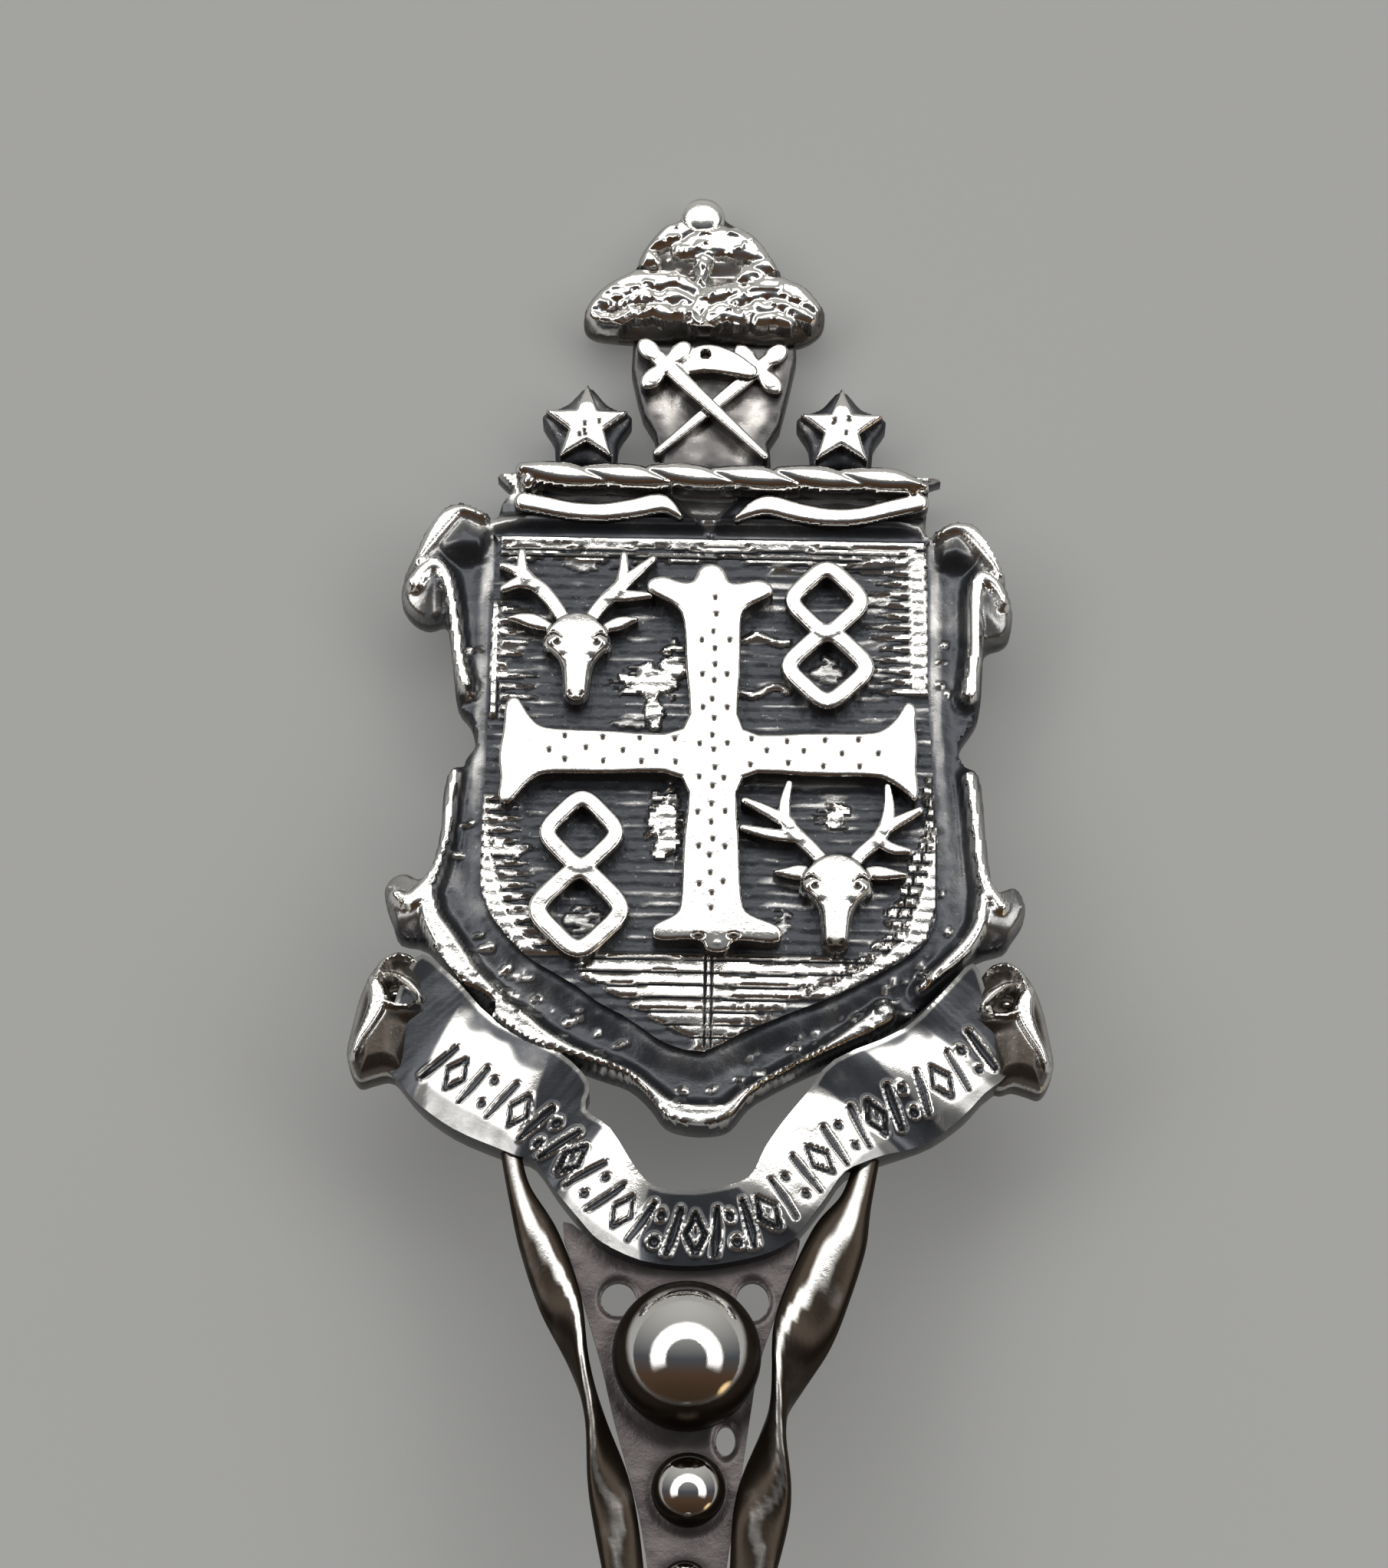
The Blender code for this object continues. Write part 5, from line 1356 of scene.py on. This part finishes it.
WEB_EDGE = (
    (-3.4, -12.0), (-2.3, -12.7), (-1.4, -13.1), (0.0, -13.2), (1.3, -13.0), (2.1, -12.7), (2.6, -12.4),
    (2.0, -14.3), (1.6, -15.6), (1.35, -17.3), (1.15, -18.8), (0.85, -20.9), (0.7, -22.9), (0.45, -26.0),
    (-0.45, -26.0), (-0.75, -22.9), (-1.15, -20.3), (-1.45, -18.9), (-2.0, -17.0), (-2.35, -15.6),
    (-2.9, -13.8),
)
WEB_HOLES = ((-1.95, -13.95, 0.44, 0.44), (1.42, -13.95, 0.42, 0.5), (0.8, -17.5, 0.24, 0.38))


def web_shape(u, v):
    """The pierced plate between the rails, with a soldered seat around each ball."""
    distance = polygon(u, v, smooth(WEB_EDGE, 3))
    tarnish_and_painted_light = 0.85 + 0.15 * noise(u, v, 0.9, 121)
    height = 0.36 + 0.015 * noise(u, v, 0.9, 122) + 0.006 * noise(u, v, 0.25, 123)
    for cu, cv, ru, rv in WEB_HOLES:
        gap = ellipse(u, v, cu, cv, ru, rv)[0]
        distance = np.maximum(distance, -gap)
        height = height - 0.08 * np.exp(-(np.clip(gap, 0, 1) / 0.08) ** 2)
    for _, cu, cv, radius in BALLS_AT:
        gap = ellipse(u, v, cu, cv, radius, radius)[0]
        height = height - 0.03 * np.exp(-(gap / (0.1 * radius + 0.05)) ** 2)
        tarnish_and_painted_light = tarnish_and_painted_light + 0.6 * np.exp(-(gap / (0.16 * radius + 0.06)) ** 2)
    return distance, height, np.clip(tarnish_and_painted_light, 0, 1)


BALLS_AT = (
    ("ball_large", -0.2, -15.6, 1.85), ("ball_middle", -0.1, -18.87, 0.92),
    ("ball_small", -0.15, -21.2, 0.61), ("ball_smallest", -0.05, -22.9, 0.43),
)
BALL_SIDES = 96
BALL_STEPS = 48


def make_balls():
    """Turned balls, each a profile of revolution cut off where it stands on the web."""
    angles = ring_of(BALL_SIDES)
    for name, u, v, radius in BALLS_AT:
        centre = 0.38 + 0.55 * radius
        profile = [(0.004, 0.33), (0.9 * radius, 0.33), (0.93 * radius, 0.37)]
        lowest = math.asin((0.42 - centre) / radius)
        for step in range(BALL_STEPS + 1):
            angle = lowest + (math.pi / 2 - lowest) * step / BALL_STEPS
            profile.append((max(radius * math.cos(angle), 0.004), centre + radius * math.sin(angle)))
        uneven = 1 + 0.003 * np.sin(2 * angles + radius)
        rings = [
            np.stack([u + reach * uneven * np.cos(angles), v + reach * uneven * np.sin(angles),
                      np.full(BALL_SIDES, height)], 1)
            for reach, height in profile
        ]
        points, faces = loft(rings)
        # Painted light: the top of each ball stays bright as a painted highlight, and its lower part takes
        # the dark colour as painted shade, which hides the floor's reflection.
        tarnish_and_painted_light = 1 - ramp((points[:, 2] - centre) / radius, 0.52, 0.72)
        add_mesh(name + "_turned", plane_to_world(points), faces, tarnish_and_painted_light, BALLS,
                 (name,))


def make_web():
    relief("web", (-3.7, -26.3, 2.9, -11.8), 0.055, web_shape, 0.0, WEB,
           ("web_plate",), wall_oxide_and_shade=0.7)


# --- collar, shaft and bowl ---------------------------------------------------------------------------

STEM_END_V = -33.0
STEM_END_W = 0.8
COLLAR_CORE = 1.12
COLLAR_SIDES = 72
# The collar's beads: their middle and half width along it, and their radius.
COLLAR_BEADS = ((-0.8, 0.12, 1.28), (-0.35, 0.32, 1.58), (0.22, 0.18, 1.3), (0.72, 0.26, 1.44))


def make_collar():
    """The turned moulding where the rails run together: a row of beads, the second the largest."""
    profile = [(0.01, -0.8), (1.0, -0.8)]
    for step in range(61):
        height = -0.8 + 1.9 * step / 60
        reach = COLLAR_CORE
        for middle, half, top in COLLAR_BEADS:
            swell = 1 - ((height - middle) / half) ** 2
            if swell > 0:
                reach = max(reach, COLLAR_CORE + (top - COLLAR_CORE) * math.sqrt(swell))
        profile.append((reach, height))
    profile += [(1.0, 1.1), (0.01, 1.1)]
    angles = ring_of(COLLAR_SIDES)
    rings = [
        np.stack([reach * np.cos(angles), np.full(COLLAR_SIDES, STEM_END_V + 1.0 - height),
                  STEM_END_W + reach * np.sin(angles)], 1)
        for reach, height in profile
    ]
    points, faces = loft(rings)
    tarnish_and_painted_light = 1 - ramp(np.hypot(points[:, 0], points[:, 2] - STEM_END_W), 1.14, 1.24)
    add_mesh("collar_turned", plane_to_world(points), faces, tarnish_and_painted_light, RAILS,
             ("stem_collar",))


SHAFT_SIDES = 40


def make_shaft():
    """The arched shaft, softly ridged along its top, which runs under the bowl as a rat-tail."""
    start = plane_to_world([(0, STEM_END_V, STEM_END_W)])[0] / MM
    # World Y and Z of its middle, its width and its thickness
    stops = (
        (start[1] + 0.8, start[2] - 0.05, 2.2, 1.6), (start[1], start[2], 2.4, 1.7),
        (start[1] - 8.0, start[2] + 1.15, 2.28, 1.62), (-6.0, 10.15, 2.3, 1.6), (-15.0, 9.05, 2.65, 1.8),
        (-20.2, 7.15, 3.1, 1.9), (-22.6, 5.4, 2.9, 1.4), (-25.5, 3.1, 2.2, 0.8), (-29.0, 1.42, 1.3, 0.6),
        (-32.5, 0.7, 0.5, 0.25),
    )
    line = smooth(stops, 12, closed=False)
    rings = []
    for place, (y, z, width, thick) in enumerate(line):
        ahead = heading(line, place)
        run = ahead[:2] / np.linalg.norm(ahead[:2])
        up = np.array((run[1], -run[0]))
        up = up if up[1] > 0 else -up
        ring = []
        for side in range(SHAFT_SIDES):
            angle = 2 * math.pi * side / SHAFT_SIDES
            c, s = math.cos(angle), math.sin(angle)
            reach = width / 2 * squared(c, 0.85)
            lift = thick / 2 * squared(s, 0.9) * (1 + 0.1 * (s > 0) * (1 - abs(c)))
            ring.append((reach, y + up[0] * lift, z + up[1] * lift))
        rings.append(np.array(ring))
    points, faces = loft(rings)
    tarnish_and_painted_light = 0.25 + 0.2 * np.sin(points[:, 1] * 1.3)
    add_mesh("shaft", points * MM, faces, tarnish_and_painted_light, RAILS, ("stem_shaft",), 60.0)


BOWL_Y = -41.0
BOWL_RIM_Z = 7.3
BOWL_HALF_LENGTH = 18.0
BOWL_HALF_WIDTH = 12 / 0.854  # before the narrowing, whose widest place leaves 0.854 of it
BOWL_WALL = 0.84
BOWL_AROUND = 160
BOWL_DOWN = 44
LIP_STEPS = 9


def bowl_point(angle, fall, inset):
    """A point of the bowl's skin: fall is 0 at the rim and 1 at the bottom, and inset goes inwards."""
    ring, depth = math.cos(fall * math.pi / 2), math.sin(fall * math.pi / 2)
    x, y, z = math.cos(angle) * ring, math.sin(angle) * ring, -depth
    narrowing = 1 - 0.16 * (1 - y) * (1 + 0.3 * z)
    height = -(depth ** 0.86) * (BOWL_RIM_Z - inset)
    return (x * (BOWL_HALF_WIDTH - inset) * narrowing, y * (BOWL_HALF_LENGTH - inset) + BOWL_Y,
            height + BOWL_RIM_Z)


def make_bowl():
    """An egg-shaped bowl: its outer skin from the bottom up, a rounded lip, and its inner skin."""
    falls = [(step / BOWL_DOWN) ** 1.3 for step in range(BOWL_DOWN + 1)]
    turns = np.linspace(0, math.pi, LIP_STEPS)
    skin = [(min(1 - fall, 0.996), 0.0) for fall in falls[:-1]]
    skin += [(0.012 * math.cos(turn), BOWL_WALL / 2 * (1 - math.cos(turn))) for turn in turns]
    skin += [(min(fall, 0.996), BOWL_WALL) for fall in falls[1:]]
    rings = [
        np.array([bowl_point(angle, max(fall, 0.0), inset) for angle in ring_of(BOWL_AROUND)])
        for fall, inset in skin
    ]
    for step, turn in enumerate(turns):
        rings[BOWL_DOWN + step][:, 2] = BOWL_RIM_Z - 0.12 + 0.12 * math.sin(turn)
    points, faces = loft(rings)
    tarnish_and_painted_light = 0.4 + 0.25 * np.sin(points[:, 0] * 0.7) * np.sin(points[:, 1] * 0.5)
    add_mesh("bowl_shell", points * MM, faces, tarnish_and_painted_light, BOWL, ("bowl",), 60.0)


# --- stage, light and camera --------------------------------------------------------------------------

FLOOR_GREY = (0.376, 0.378, 0.372)
FLOOR_HALF = 0.8
FLOOR_GLOW = 0.3  # a little light of its own, as paper lit from all round has


def make_floor():
    mesh = bpy.data.meshes.new("floor")
    corners = [(x * FLOOR_HALF, y * FLOOR_HALF, 0) for x, y in ((-1, -1), (1, -1), (1, 1), (-1, 1))]
    mesh.from_pydata(corners, [], [(0, 1, 2, 3)])
    floor = bpy.data.objects.new("floor", mesh)
    bpy.context.scene.collection.objects.link(floor)
    material = bpy.data.materials.new("pale_paper")
    material.use_nodes = True
    tree = material.node_tree
    shader = tree.nodes["Principled BSDF"]
    shader.inputs["Roughness"].default_value = 0.9
    shader.inputs["Specular IOR Level"].default_value = 0.1
    shader.inputs["Emission Strength"].default_value = FLOOR_GLOW
    place = add_node(tree, "ShaderNodeTexCoord").outputs["Object"]
    darker = tuple(0.94 * c for c in FLOOR_GREY)
    lighter = tuple(1.04 * c for c in FLOOR_GREY)
    color = color_node(tree, noise_node(tree, place, 14.0, 2.0), darker, lighter)
    tree.links.new(color, shader.inputs["Base Color"])
    tree.links.new(color, shader.inputs["Emission Color"])
    mesh.materials.append(material)


def weighted(tree, first, weight, second, other):
    """weight times the first plus other times the second."""
    return math_node(tree, "ADD", math_node(tree, "MULTIPLY", first, weight),
                     math_node(tree, "MULTIPLY", second, other))


def lamp_color(tree, color, strength):
    """A colour as bright as a node's output says."""
    node = add_node(tree, "ShaderNodeVectorMath", {"operation": "SCALE"})
    node.inputs[0].default_value = color
    tree.links.new(strength, node.inputs["Scale"])
    return node.outputs[0]


# The studio round the object: a wide soft light arches over it from the side of the finial's tip, the
# other side is dark, and the walls are dim. Directions are measured from an axis just off the vertical.
LIGHT_AXIS = math.radians(9.0)
LIGHT_NEAR = 33.0
LIGHT_FAR = 56.0
LIGHT_STRENGTH = 2.2
LIGHT_COLOR = (1.0, 0.99, 0.97)
ARCH_OPENING = (118.0, 84.0)
WARM_COLOR = (1.0, 0.72, 0.35)
# The walls' colour, from 0 on the side of the bowl to 1 on the side of the finial's tip.
WALLS = ((0.0, (0.035, 0.022, 0.014)), (1.0, (0.45, 0.45, 0.43)), (0.5, (0.065, 0.07, 0.08)),
         (0.3, (0.07, 0.042, 0.026)))


def wall_color(tree, lean):
    """The dim walls, as a ramp of colours."""
    node = add_node(tree, "ShaderNodeValToRGB")
    stops = node.color_ramp.elements
    for place, (position, color) in enumerate(WALLS):
        stop = stops[place] if place < 2 else stops.new(position)
        stop.position = position
        stop.color = color + (1,)
    tree.links.new(lean, node.inputs["Fac"])
    return node.outputs["Color"]


def make_studio():
    world = bpy.data.worlds.new("studio")
    bpy.context.scene.world = world
    world.use_nodes = True
    tree = world.node_tree
    split = add_node(tree, "ShaderNodeSeparateXYZ")
    tree.links.new(add_node(tree, "ShaderNodeTexCoord").outputs["Generated"], split.inputs[0])
    x, y, z = split.outputs
    axis_sin, axis_cos = math.sin(LIGHT_AXIS), math.cos(LIGHT_AXIS)
    toward = weighted(tree, y, -axis_sin, z, axis_cos)
    over = weighted(tree, y, axis_cos, z, axis_sin)
    angle = math_node(tree, "ARCCOSINE", toward)
    turn = math_node(tree, "ABSOLUTE", math_node(tree, "ARCTAN2", x, over))
    near = step_node(tree, angle, math.radians(LIGHT_NEAR - 3), math.radians(LIGHT_NEAR + 3))
    far = step_node(tree, angle, math.radians(LIGHT_FAR + 5), math.radians(LIGHT_FAR - 5))
    side = step_node(tree, turn, math.radians(ARCH_OPENING[0]), math.radians(ARCH_OPENING[1]))
    arch = math_node(tree, "MULTIPLY", math_node(tree, "MULTIPLY", near, far), side)
    warm = step_node(tree, weighted(tree, x, 0.75, y, -0.65), 0.965, 0.992)

    lights = add_node(tree, "ShaderNodeVectorMath", {"operation": "ADD"})
    strength = math_node(tree, "MULTIPLY", arch, LIGHT_STRENGTH)
    tree.links.new(lamp_color(tree, LIGHT_COLOR, strength), lights.inputs[0])
    tree.links.new(lamp_color(tree, WARM_COLOR, math_node(tree, "MULTIPLY", warm, 1.2)), lights.inputs[1])
    walls = wall_color(tree, math_node(tree, "MULTIPLY_ADD", over, 0.5, 0.5))
    total = add_node(tree, "ShaderNodeMix", {"data_type": "RGBA", "blend_type": "ADD"})
    total.inputs[0].default_value = 1.0
    tree.links.new(walls, total.inputs[6])
    tree.links.new(lights.outputs[0], total.inputs[7])
    tree.links.new(total.outputs[2], tree.nodes["Background"].inputs["Color"])


# The camera looks at a point beside the cross from 18 degrees off the finial's normal, with a slight roll.
CAMERA_TILT = math.radians(18.0)
CAMERA_ROLL = math.radians(1.0)
CAMERA_DISTANCE = 140.0
CAMERA_AIM = (-0.276, -0.855, 1.9)
PICTURE_HEIGHT = 2044
PIXELS_PER_MM = 51.0
SENSOR = 36.0


def make_camera():
    camera = bpy.data.cameras.new("camera")
    holder = bpy.data.objects.new("camera", camera)
    bpy.context.scene.collection.objects.link(holder)
    roll = Matrix.Rotation(CAMERA_ROLL, 3, "Z")
    back = roll @ Vector((0, -math.sin(CAMERA_TILT), math.cos(CAMERA_TILT)))
    up = roll @ Vector((0, math.cos(CAMERA_TILT), math.sin(CAMERA_TILT)))
    side = up.cross(back)
    local = Matrix((side, up, back)).transposed().to_4x4()
    local.translation = (Vector(CAMERA_AIM) + back * CAMERA_DISTANCE) * MM
    plane = Matrix.Translation((0, PLANE_Y * MM, PLANE_Z * MM)) @ Matrix.Rotation(-SLOPE, 4, "X")
    holder.matrix_world = plane @ local
    camera.sensor_width = SENSOR
    camera.lens = PIXELS_PER_MM * CAMERA_DISTANCE / PICTURE_HEIGHT * SENSOR
    camera.clip_start = 0.001
    bpy.context.scene.camera = holder
    bpy.context.scene.view_settings.view_transform = "Standard"


def main():
    for make in (make_cartouche, make_charges, make_torse, make_stars, make_crest, make_ribbon, make_rails,
                 make_web, make_balls, make_collar, make_shaft, make_bowl, make_floor, make_studio,
                 make_camera):
        make()


main()
